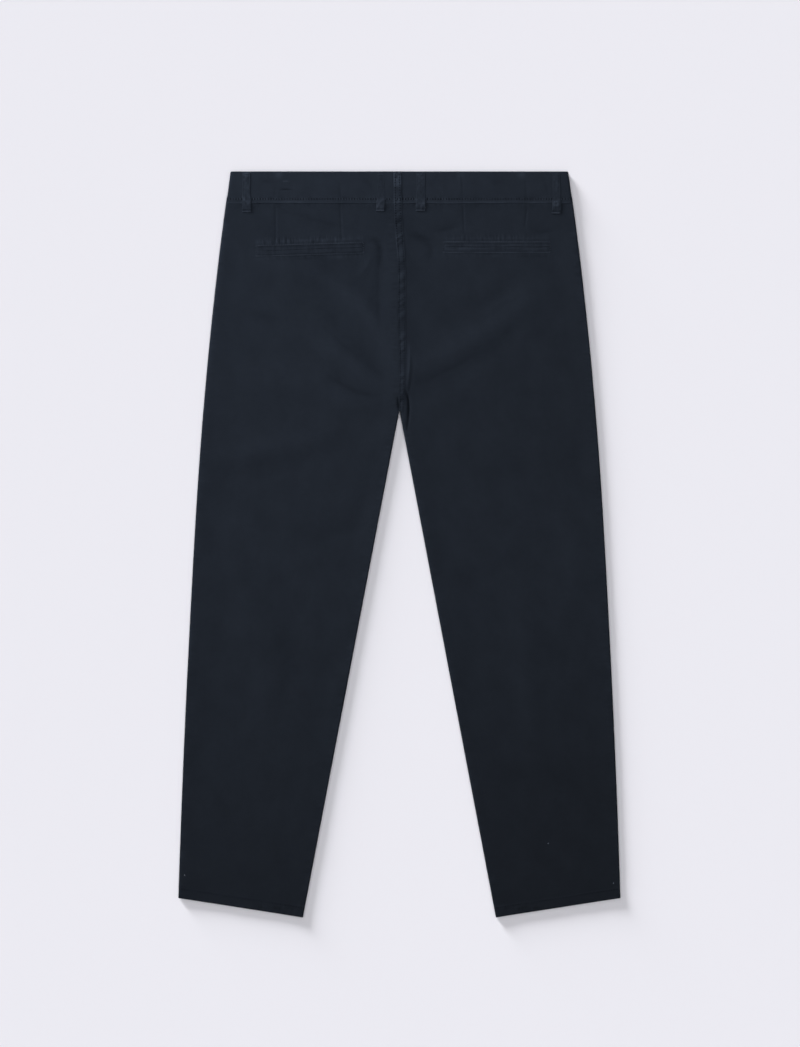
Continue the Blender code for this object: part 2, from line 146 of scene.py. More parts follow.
CREASES = [Fold(*row) for row in (
    # the hook beside the left pocket, and the light arc next to it
    (-40, 93, -27, 98, -25, 124, 4.5, -1.1),
    (-26, 110, -28, 150, -27, 190, 3.6, -0.5, CRISP),
    (-28, 180, -26, 205, -22, 224, 3.5, -0.35, CRISP),
    (-39, 114, -44, 126, -53, 138, 3.0, 0.7, CRISP),
    # its counterpart on the right
    (17, 86, 34, 91, 43, 100, 5.0, -1.0),
    (43, 99, 44, 108, 40, 118, 4.0, -0.4),
    # slanting lines in the left seat
    (-106, 201, -66, 239, -12, 279, 3.2, -0.45, CRISP),
    (-94, 273, -57, 295, -26, 300, 3.0, -0.9, CRISP),
    (-207, 188, -178, 196, -150, 198, 6.0, -0.3),
    # into the crotch
    (17, 250, 16, 275, 11.5, 304, 2.0, -0.8, CRISP),
    (7.5, 294, 12.5, 312, 10.0, 346, 1.15, -3.0, CRISP),
    (-1.7, 303, -1.4, 311, -0.5, 320, 1.1, -2.2, CRISP),
    (2.4, 303, 1.4, 310, 0.4, 317, 0.9, -0.7, CRISP),
    (13.5, 232, 13.7, 258, 11.0, 285, 2.2, 0.8, CRISP),
    # slanting lines in the right seat
    (17, 286, 63, 268, 104, 244, 4.0, -0.35),
    (104, 194, 130, 178, 158, 162, 5.0, 0.4),
    # short lines between the waistband and the pockets
    (-160, 51, -106, 67, -59, 79, 3.2, -0.4, CRISP),
    (49, 81, 66, 77, 80, 74.5, 2.8, -0.65, CRISP),
    (184, 81.5, 196, 81, 208, 79, 2.6, -0.8, CRISP),
)]
Dart = namedtuple("Dart", "x0 below0 x1 below1")  # in millimetres, from the waistband down
DARTS = [
    Dart(-166.3, 41.0, -165.6, 97.0),
    Dart(-79.7, 41.0, -77.0, 93.0),
    Dart(85.2, 41.0, 86.7, 82.0),
    Dart(171.3, 44.0, 168.3, 75.0),
]
DART_WIDTH = 1.5
DartLine = namedtuple("DartLine", "aside rise")  # aside at its top, its middle and its point
DART_LINES = [DartLine((0, 0, 0), -0.5), DartLine((2.4, 2.4, 2.2), 0.22)]
for dart in DARTS:
    xs = (dart.x0, (dart.x0 + dart.x1) / 2, dart.x1)
    belows = (dart.below0, (dart.below0 + dart.below1) / 2, dart.below1)
    for line in DART_LINES:
        places = zip((x + aside for x, aside in zip(xs, line.aside)), belows)
        way = (value for place in places for value in place)
        CREASES.append(Fold(*way, DART_WIDTH, line.rise, CRISP))
FOLD_STEPS = 18
FOLD_END = 0.06  # how much of the taper is cut off at each end of a fold
KNOTS, KNOTS_ACROSS = 4096, 256  # random heights in a line, and along each side of a field
KNOTS_IN = 1000  # from the first knot to the middle of the garment


def through(table, at, column=1):
    """The smooth curve through one column of a table, read at distances in its first column."""
    xs = np.array([row[0] for row in table])
    ys = np.array([row[column] for row in table])
    slopes = np.gradient(ys, xs)
    i = np.clip(np.searchsorted(xs, at) - 1, 0, len(xs) - 2)
    span = xs[i + 1] - xs[i]
    t = np.clip((at - xs[i]) / span, 0, 1)
    start = (1 + 2 * t) * (1 - t) ** 2 * ys[i] + t * (1 - t) ** 2 * span * slopes[i]
    end = t * t * (3 - 2 * t) * ys[i + 1] + t * t * (t - 1) * span * slopes[i + 1]
    return start + end


def step(low, high, value):
    """0 up to low and 1 from high on, with a smooth rise between."""
    t = np.clip((value - low) / (high - low), 0, 1)
    return t * t * (3 - 2 * t)


def mix(a, b, share):
    return a + (b - a) * share


def hump(value, middle, width):
    """1 at the middle, falling off smoothly on both sides."""
    return np.exp(-(((value - middle) / width) ** 2))


def inseam_x(below):
    return np.maximum(0, below - CROTCH_BELOW) / (LENGTH - CROTCH_BELOW) * HEM_INSEAM_X


def outseam_below(below):
    """Where the row that starts this far down the centre or inseam meets the outseam."""
    share = (below - BAND_DEPTH) / (LENGTH - BAND_DEPTH)
    return mix(BAND_DEPTH, OUTSEAM_BELOW, share)


def uneven(at, pitch, seed):
    """A smooth line of random heights from -1 to 1, one to each pitch."""
    knots = np.random.default_rng(seed).uniform(-1, 1, KNOTS)
    place = np.asarray(at) / pitch + KNOTS_IN
    i = np.floor(place).astype(int)
    t = place - i
    t = t * t * (3 - 2 * t)
    return mix(knots[i % KNOTS], knots[(i + 1) % KNOTS], t)


def rumpled(x, y, pitch, seed):
    """A smooth field of random heights from -1 to 1, one to each square of that pitch."""
    knots = np.random.default_rng(seed).uniform(-1, 1, (KNOTS_ACROSS, KNOTS_ACROSS))
    across, up = x / pitch + KNOTS_IN, y / pitch + KNOTS_IN
    i, j = np.floor(across).astype(int), np.floor(up).astype(int)
    s, t = across - i, up - j
    s, t = s * s * (3 - 2 * s), t * t * (3 - 2 * t)
    i, next_i, j, next_j = (k % KNOTS_ACROSS for k in (i, i + 1, j, j + 1))
    low = mix(knots[i, j], knots[next_i, j], s)
    high = mix(knots[i, next_j], knots[next_i, next_j], s)
    return mix(low, high, t)


def fold_heights(x, below, folds):
    """How far these folds raise the cloth at each point."""
    total = np.zeros_like(x)
    for f in folds:
        a, b, c = (np.array(p) * MM for p in ((f.x0, f.below0), (f.x1, f.below1), (f.x2, f.below2)))
        control = 2 * b - (a + c) / 2  # so that the curve goes through the bend
        t = np.linspace(0, 1, FOLD_STEPS)
        line = [(1 - s) ** 2 * a + 2 * s * (1 - s) * control + s * s * c for s in t]
        reach = 3 * f.half_width * MM
        low, high = np.min(line, axis=0) - reach, np.max(line, axis=0) + reach
        near = (x > low[0]) & (x < high[0]) & (below > low[1]) & (below < high[1])
        if not near.any():
            continue
        px, py = x[near], below[near]
        least, along = np.full(px.shape, np.inf), np.zeros(px.shape)
        for i, (p, q) in enumerate(zip(line, line[1:])):
            way = q - p
            s = np.clip(((px - p[0]) * way[0] + (py - p[1]) * way[1]) / (way @ way), 0, 1)
            away = np.hypot(px - p[0] - s * way[0], py - p[1] - s * way[1])
            closer = away < least
            least = np.where(closer, away, least)
            along = np.where(closer, (i + s) / (FOLD_STEPS - 1), along)
        taper = np.sin(math.pi * mix(FOLD_END, 1 - FOLD_END, along)) ** 0.7
        total[near] += f.rise * MM * taper * np.exp(-((least / (f.half_width * MM)) ** f.crisp))
    return total


def back_height(below, from_seam, from_side, folds):
    """Height of the back's outer face, from its distances to the inner and outer seams."""
    edge, middle = through(EDGE_HEIGHT, below), through(MIDDLE_HEIGHT, below)
    held = np.minimum(hump(from_side, 0, EDGE_REACH) + hump(from_seam, 0, EDGE_REACH), 1)
    return np.maximum(mix(middle, edge, held) + (1 - SEAM_HOLD * held) * folds, LEAST_HEIGHT)


Fade = namedtuple("Fade", "below left right")
PAINTED_FALLOFF = in_mm(Fade, [  # painted shade for light falling off: how bright the cloth is at the left and the right outseam, going down
    (0, 1.13, 0.87),
    (180, 1.09, 0.78),
    (330, 0.99, 0.73),
    (540, 0.89, 0.71),
    (640, 0.81, 0.66),
    (840, 0.70, 0.52),
    (1000, 0.56, 0.45),
], shares="left right")
FALLOFF_ACROSS, FALLOFF_BEND = 560, 1.3  # in millimetres, and how late across the painted shade grows


def painted_falloff_at(x, below):
    """The share of full brightness painted on the cloth there, a painted shade for light falling
    off towards the hems and the right.
    """
    share = np.clip(0.5 + x / FALLOFF_ACROSS / MM, 0, 1) ** FALLOFF_BEND
    return mix(through(PAINTED_FALLOFF, below), through(PAINTED_FALLOFF, below, 2), share)


def made_mesh(name, bm):
    """A mesh of what has been built."""
    mesh = bpy.data.meshes.new(name)
    bm.to_mesh(mesh)
    bm.free()
    return mesh


def placed(name, data):
    """An object in the scene."""
    thing = bpy.data.objects.new(name, data)
    bpy.context.collection.objects.link(thing)
    return thing


def cloth_mesh(name, points, cut, wear_and_shade, drawn):
    """One layer of cloth. Its rows of points run up, each from left to right as seen from its face.

    cut is where each point was in the flat cloth, in metres. wear is how rubbed it is, with painted
    light and shade added: paler on ridges, and under 0 darker, painted shade in creases, grooves
    and hollows. drawn is how much it is puckered by a seam that runs across, and under 0 by one
    that runs down.
    """
    up, across = points.shape[0] - 1, points.shape[1] - 1
    bm = bmesh.new()
    bmesh.ops.create_grid(bm, x_segments=across, y_segments=up, size=0.5)
    mesh = made_mesh(name, bm)
    grid = np.empty(3 * len(mesh.vertices), dtype=np.float32)
    mesh.vertices.foreach_get("co", grid)
    grid = grid.reshape(-1, 3) + 0.5
    row, column = np.rint(grid[:, 1] * up).astype(int), np.rint(grid[:, 0] * across).astype(int)
    mesh.vertices.foreach_set("co", points[row, column].astype(np.float32).ravel())
    corners = np.empty(len(mesh.loops), dtype=np.int32)
    mesh.loops.foreach_get("vertex_index", corners)
    flat = cut[row, column][corners].astype(np.float32)
    mesh.uv_layers.new(name="cloth").data.foreach_set("uv", flat.ravel())
    # painted shade for light falling off, darker towards the hems and the right
    painted_falloff = painted_falloff_at(points[..., 0], WAIST_Y - points[..., 1])
    for key, values in (("wear_and_shade", wear_and_shade), ("drawn", drawn), ("painted_falloff", painted_falloff)):
        layer = mesh.attributes.new(key, "FLOAT", "POINT")
        layer.data.foreach_set("value", values[row, column].astype(np.float32))
    mesh.shade_smooth()
    mesh.update()
    return mesh


def cloth_piece(part, shape, wall=CLOTH):
    """A thin shell of cloth in place of a part, with its thickness towards the inside."""
    piece = placed(f"{part}_twill", cloth_mesh(f"{part}_twill", *shape))
    piece.data.materials.append(NAVY)
    thick = piece.modifiers.new("thickness", "SOLIDIFY")
    thick.thickness = wall
    thick.offset = -1
    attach(piece, "root")
    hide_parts(part)
    return piece


def set_inputs(made, values):
    """Sets each input of a node, or links it where the value is another node's output."""
    for key, value in values.items():
        if isinstance(value, bpy.types.NodeSocket):
            made.id_data.links.new(value, made.inputs[key])
        else:
            made.inputs[key].default_value = value


def new_material(name, roughness, specular):
    """A plain material to build on, with its tree of nodes and its shader."""
    material = bpy.data.materials.new(name)
    material.use_nodes = True
    shader = material.node_tree.nodes["Principled BSDF"]
    set_inputs(shader, {"Roughness": roughness, "Specular IOR Level": specular})
    return material, material.node_tree, shader


def node(tree, kind, output, values, **settings):
    """Adds a node of that kind and gives the one output of it that is used."""
    made = tree.nodes.new("ShaderNode" + kind)
    for key, value in settings.items():
        setattr(made, key, value)
    set_inputs(made, values)
    return made.outputs[output]


def maths(tree, operation, a, b):
    return node(tree, "Math", 0, {0: a, 1: b}, operation=operation)


def between(tree, share, dark, pale, **settings):
    """A colour between two others."""
    values = {"A": (*dark, 1), "B": (*pale, 1), "Factor": share}
    return node(tree, "Mix", "Result", values, data_type="RGBA", **settings)


def with_painted_falloff(tree, colour):
    """A colour darkened by the painted shade for light falloff that is stored in the mesh."""
    painted_falloff = node(tree, "Attribute", "Fac", {}, attribute_name="painted_falloff")
    return node(tree, "VectorMath", 0, {0: colour, "Scale": painted_falloff}, operation="SCALE")


TWILL_ANGLE, YARN_ANGLE = 28, -62
TWILL_PITCH, YARN_PITCH = 0.62, 0.42  # the width of one diagonal and of one yarn, in millimetres
TWILL_WAVER, YARN_WAVER = 0.35, 0.5
TWILL_SHARE = 0.72  # of the relief, against the yarns
TWILL_RISE = 0.09 * MM
PUCKER_RISE = 0.6 * MM
SHEEN_TINT = (0.55, 0.68, 0.9, 1)
# Noise in the cloth's own map: how fine it is, for each metre along and down, and its detail.
Speckle = namedtuple("Speckle", "along down detail")
FIBRE, SLUB = Speckle(2600, 2600, 2), Speckle(105, 672, 2)
DYE_FINE, DYE_BROAD = Speckle(150, 150, 2), Speckle(34, 23.8, 2)
LEVEL_PUCKER, UPRIGHT_PUCKER = Speckle(330, 55, 1), Speckle(60, 290, 1)


def twill(name, dark, pale):
    """Garment-dyed cotton twill: fine diagonal lines, uneven dye, and paler where it has rubbed,
    with the painted light and shade that the mesh stores with its wear.

    The cloth's own map is in metres.
    """
    material, tree, shader = new_material(name, 0.9, 0.1)
    set_inputs(shader, {"Sheen Weight": 0.03, "Sheen Roughness": 0.5, "Sheen Tint": SHEEN_TINT})
    flat = node(tree, "UVMap", "UV", {}, uv_map="cloth")

    def times(a, b):
        return maths(tree, "MULTIPLY", a, b)

    def plus(a, b):
        return maths(tree, "ADD", a, b)

    def noise(speckle):
        fineness = (speckle.along, speckle.down, 1)
        spots = {"Scale": 1, "Detail": speckle.detail}
        spots["Vector"] = node(tree, "Mapping", "Vector", {"Scale": fineness, "Vector": flat})
        return node(tree, "TexNoise", "Fac", spots)

    def lines(angle, pitch, waver):
        """Bands across that angle, one to each pitch, in millimetres."""
        turn = {"Scale": (1 / MM,) * 3, "Rotation": (0, 0, math.radians(angle)), "Vector": flat}
        bands = {"Scale": math.pi / 10 / pitch, "Distortion": waver}
        bands |= {"Detail": 1, "Detail Scale": 0.4, "Vector": node(tree, "Mapping", "Vector", turn)}
        return node(tree, "TexWave", "Fac", bands, wave_type="BANDS", bands_direction="X")

    diagonal = lines(TWILL_ANGLE, TWILL_PITCH, TWILL_WAVER)
    yarn = lines(YARN_ANGLE, YARN_PITCH, YARN_WAVER)
    weave = plus(times(diagonal, TWILL_SHARE), times(yarn, 1 - TWILL_SHARE))
    fibre = noise(FIBRE)
    # wear with painted light and shade from the mesh: paler where rubbed and on ridges, darker in
    # creases, grooves and hollows
    rubbed = node(tree, "Attribute", "Fac", {}, attribute_name="wear_and_shade")
    drawn = node(tree, "Attribute", "Fac", {}, attribute_name="drawn")
    level = maths(tree, "MAXIMUM", drawn, 0)
    level = times(level, maths(tree, "SUBTRACT", noise(LEVEL_PUCKER), 0.5))
    upright = maths(tree, "MINIMUM", drawn, 0)
    upright = times(upright, maths(tree, "SUBTRACT", noise(UPRIGHT_PUCKER), 0.5))
    pucker = plus(level, upright)

    shade = times(weave, 0.5)
    for layer, share in ((fibre, 0.2), (noise(DYE_FINE), 0.16), (noise(DYE_BROAD), 0.36)):
        shade = plus(shade, times(layer, share))
    # the colour follows the pucker relief, paler crests and darker hollows: painted light and shade
    shade = plus(maths(tree, "SUBTRACT", shade, 0.12), times(pucker, 1.3))
    shade = plus(shade, times(rubbed, times(noise(SLUB), 1.2)))
    colour = between(tree, shade, dark, pale, clamp_factor=False)

    puckered = {"Strength": 1, "Distance": PUCKER_RISE, "Height": pucker}
    raised = {"Strength": 0.6, "Distance": TWILL_RISE, "Height": plus(weave, times(fibre, 0.5))}
    raised["Normal"] = node(tree, "Bump", "Normal", puckered)
    # painted shade for light falling off, stored in the mesh
    colour = with_painted_falloff(tree, colour)
    set_inputs(shader, {"Base Color": colour, "Normal": node(tree, "Bump", "Normal", raised)})
    return material


NAVY = twill("navy twill", (0.0055, 0.0081, 0.0132), (0.0195, 0.0257, 0.0380))
ROLL_ANGLES = np.radians((0, 12, 26, 42, 60, 78, 90))  # across a rolled edge, from the seam
ROLL_SQUARE = 0.7  # under 1, a rolled edge is squarer than a round one
ROLL_OUT = 1 - np.cos(ROLL_ANGLES) ** ROLL_SQUARE
ROLL_UP = np.sin(ROLL_ANGLES) ** ROLL_SQUARE
TURN_IN = np.array((2.6, 0.7, 0.25, 0.05)) * MM  # of the allowance, in from the seam
TURN_OFF = np.array((0.05, 0.05, 0.25, 0.7)) * MM  # and away from the other panel
TURNS, ROLLS = len(TURN_IN), len(TURN_IN) + len(ROLL_ANGLES)
RowRun = namedtuple("RowRun", "below rows")  # down to where, and in how many rows
BACK_ROWS = [
    RowRun(42 * MM, 3),  # under the waistband
    RowRun(47 * MM, 7),
    RowRun(56 * MM, 7),
    RowRun(90 * MM, 16),
    RowRun(118 * MM, 38),  # round the pockets
    RowRun(CROTCH_BELOW, 104),
    RowRun(LENGTH - HEM_DEPTH - 3 * MM, 184),
]
# Down from the hem's inner edge.
HEM_ROWS = np.array((-1.2, -0.5, 0, 0.5, 1.2, 4, 7, 10, 12.5, 13.6, 14)) * MM
BACK_COLUMNS = 78
CROTCH_CREASE = Dart(11, 295, 9.5, 342)
DART_COLUMNS = np.linspace(-3.5, 3.5, 8) * MM
COLUMN_CROWDING = 1.2  # over 1, the columns are closer together near the inner seam
LEAST_SHARE = 0.002  # of the way across, between the first column and a dart's
STRIP_SHARES = {LEFT: np.array((0.4, 0.8)), RIGHT: np.linspace(0.15, 0.85, 5)}
STRIP_RISE, STRIP_STEP = 0.5 * MM, 1.5 * MM
STRIP_EDGE = 0.3 * MM  # how far its left edge is rounded down
TWO_LAYERS = 1.5 * MM
UNDER_STRIP = np.array((3.0, 2.0, 1.0, 0.4)) * MM
UNDER_DROP = np.array((1.5, 1.3, 0.9, 0.3)) * MM
HEM_STITCH_UP = 12.7 * MM
FOLD_WEAR_AND_SHADE, CREASE_WEAR_AND_SHADE = 0.1, 0.4  # for each millimetre of rise: ridges paler, partly rubbed and partly painted highlight, troughs darker with painted shade
Pocket = namedtuple("Pocket", "side name x0 below0 x1 below1")
POCKETS = [
    Pocket(LEFT, "left", -191.8 * MM, 106.4 * MM, -48.2 * MM, 102.0 * MM),
    Pocket(RIGHT, "right", 59.2 * MM, 101.3 * MM, 201.9 * MM, 101.3 * MM),
]
WELT_DEPTH = 6.6 * MM
STITCHED_OUT = WELT_DEPTH + 0.5 * MM  # from a pocket's mouth to its edge stitch
GROOVE_OUT = STITCHED_OUT + 1.6 * MM
RIDGE_OUT = 12 * MM
PUCKERED = {LEFT: 1.8, RIGHT: 1.0}  # above each pocket
RUBBED_ABOVE = {LEFT: 0.4, RIGHT: 0.35}
EDGE_WEAR = {LEFT: 0.35, RIGHT: 1.3}  # along each pocket's edge stitch
Pucker = namedtuple("Pucker", "pitch reach rise seed")
BAND_PUCKER = Pucker(5.5 * MM, 9 * MM, 0.22 * MM, 81)
HEM_PUCKER = Pucker(4.5 * MM, 8 * MM, 0.2 * MM, 83)
OUTSEAM_PUCKER = Pucker(7 * MM, 10 * MM, 0.18 * MM, 85)
INSEAM_PUCKER = Pucker(6 * MM, 10 * MM, 0.22 * MM, 87)
Wave = namedtuple("Wave", "rise slant stretch pitch seed")  # longer down the leg by 1 / stretch
WAVES = [
    Wave(0.25, 0.1, 0.42, 31 * MM, 71),
    Wave(0.12, 0.3, 0.8, 13 * MM, 72),
    Wave(0.035, 0, 1, 6 * MM, 73),
]
BACK_SEEDS = {"above pocket": 91, "below pocket": 93, "hem": 96, "pocket": 97, "faint line": 98}
BACK_SEEDS |= {"seams": 89, "rope": 95, "rope's edge": 99}
# Rubbed spots, in millimetres. Under 0, the spot is painted shade instead, the cloth painted
# darker.
RubAndShadeSpot = namedtuple("RubAndShadeSpot", "x below across down amount")
# painted shade: darker patches on the left seat and beside the centre-back seam
BACK_SHADE_SPOTS = [RubAndShadeSpot(*row) for row in (
    (-108, 132, 52, 30, -0.26),
    (-20, 66, 26, 18, -0.18),
    (-176, 82, 30, 22, -0.14),
)]
SeamWear = namedtuple("SeamWear", "below share")
SEAM_WEAR = in_mm(SeamWear, [  # how rubbed the felled seam's edge is, going down
    (0, 1.0),
    (17, 0.9),
    (21, 0.15),
    (33, 0.15),
    (37, 0.6),
    (52, 0.55),
    (57, 0.05),
    (73, 0.05),
    (79, 0.45),
    (105, 0.4),
    (125, 0.0),
], shares="share")


def mouth_of(pocket):
    """The start, the direction and the length of a pocket's mouth."""
    start = np.array((pocket.x0, WAIST_Y - pocket.below0))
    way = np.array((pocket.x1, WAIST_Y - pocket.below1)) - start
    length = np.hypot(*way)
    return start, way / length, length


def by_pocket(pocket, x, y):
    """Distances along a pocket's mouth and up from it, its length, and 1 beside it or 0 beyond."""
    start, way, length = mouth_of(pocket)
    dx, dy = x - start[0], y - start[1]
    run, up = dx * way[0] + dy * way[1], dy * way[0] - dx * way[1]
    beside = step(-3 * MM, 2 * MM, run) * step(length + 3 * MM, length - 2 * MM, run)
    return run, up, length, beside


def puckers(run, away, pucker, side):
    """Short uneven ridges that a seam draws up across itself. run is along it, away is off it."""
    ridges = uneven(run + 0.4 * away, pucker.pitch, pucker.seed + side)
    return pucker.rise * ridges * hump(away, 0, pucker.reach)


def lie(x, y, side):
    """The low waves of washed cloth that has been laid down, and the puckers along its seams."""
    down = WAIST_Y - y
    waves = sum(w.rise * rumpled(x + w.slant * y, w.stretch * y, w.pitch, w.seed) for w in WAVES)
    total = waves * MM * mix(0.75, 1, step(CROTCH_BELOW, 450 * MM, down))
    total += puckers(x, np.maximum(down - BAND_DEPTH, 0), BAND_PUCKER, side)
    total += puckers(x, down - LENGTH + HEM_STITCH_UP, HEM_PUCKER, side)
    for pocket in POCKETS:
        run, up, length, beside = by_pocket(pocket, x, y)
        total -= beside * 0.25 * MM * hump(up, -GROOVE_OUT, 0.9 * MM)
        above, under = hump(up, RIDGE_OUT, 3.5 * MM), hump(up, -RIDGE_OUT, 4 * MM)
        bumps = uneven(run, 3.3 * MM, BACK_SEEDS["above pocket"] + side)
        swells = uneven(run, 15 * MM, BACK_SEEDS["below pocket"] + side)
        total += beside * above * (0.2 * MM * bumps + 0.3 * MM)
        total += beside * under * 0.4 * MM * np.maximum(swells, -0.2)
    return total


def rubs_and_shade(spots, x, below):
    """How much these spots are rubbed at each point, and under 0 how much painted shade they add.
    """
    total = np.zeros_like(x)
    for s in spots:
        across, down = (x - s.x * MM) / (s.across * MM), (below - s.below * MM) / (s.down * MM)
        total += s.amount * np.exp(-(across**2 + down**2))
    return total


def worn(x, y, side):
    """How rubbed and how drawn in the cloth is along the seams that run across it, with painted
    shade in the grooves along them.
    """
    down = WAIST_Y - y
    hem_up = LENGTH - HEM_STITCH_UP - down
    patchy = 0.7 + 0.6 * uneven(x, 21 * MM, BACK_SEEDS["hem"])
    # painted shade along the hem's stitching, with a paler line beside it, partly rubbed and partly
    # painted highlight
    wear_and_shade = 0.35 * patchy * hump(hem_up, 2.2 * MM, 1.4 * MM) - 0.45 * hump(hem_up, 0, 0.9 * MM)
    wear_and_shade += rubs_and_shade(BACK_SHADE_SPOTS, x, down)
    drawn = 0.55 * hump(down, BAND_DEPTH, 8 * MM) + 0.6 * hump(hem_up, -1 * MM, 6 * MM)
    for pocket in POCKETS:
        run, up, length, beside = by_pocket(pocket, x, y)
        patchy = 0.75 + 0.5 * uneven(run, 16 * MM, BACK_SEEDS["pocket"] + side)
        faint = uneven(run, 22 * MM, BACK_SEEDS["faint line"] + side)
        lines = EDGE_WEAR[pocket.side] * hump(np.abs(up), STITCHED_OUT, 0.9 * MM)
        # painted shade in the groove below each pocket
        lines -= 0.4 * hump(up, -GROOVE_OUT, 0.8 * MM)
        lines += RUBBED_ABOVE[pocket.side] * hump(up, RIDGE_OUT, 1.6 * MM)
        lines += 0.3 * hump(up, -RIDGE_OUT, 1.6 * MM) * faint
        wear_and_shade += beside * patchy * lines
        ends = hump(run, -1 * MM, 1.2 * MM) + hump(run, length + 1 * MM, 1.2 * MM)
        wear_and_shade -= 0.2 * ends * step(STITCHED_OUT + 1 * MM, STITCHED_OUT, np.abs(up))
        most = 0.45 + 0.75 * hump(run, 0.45 * length, 0.35 * length)
        drawn += beside * PUCKERED[pocket.side] * most * hump(up, RIDGE_OUT, 4.5 * MM)
        drawn += beside * 0.6 * hump(up, -10 * MM, 3.5 * MM)
    return wear_and_shade, drawn


def to_outseam(side, start_x, below):
    """The way across a panel from where each row starts to the outseam, and its length."""
    side_below = outseam_below(below)
    way_x, way_y = side * through(SIDE, side_below) - start_x, below - side_below
    return way_x, way_y, np.hypot(way_x, way_y)


def panel_columns(radius, length, inner):
    """How far across a panel its points are. Both edges are rolled, with inner between them."""
    turned, rolled = TURN_IN * np.ones_like(length), radius * ROLL_OUT
    outer = [length - rolled[:, ::-1], length - turned[:, ::-1]]
    return np.concatenate([turned, rolled, *inner, *outer], axis=1)


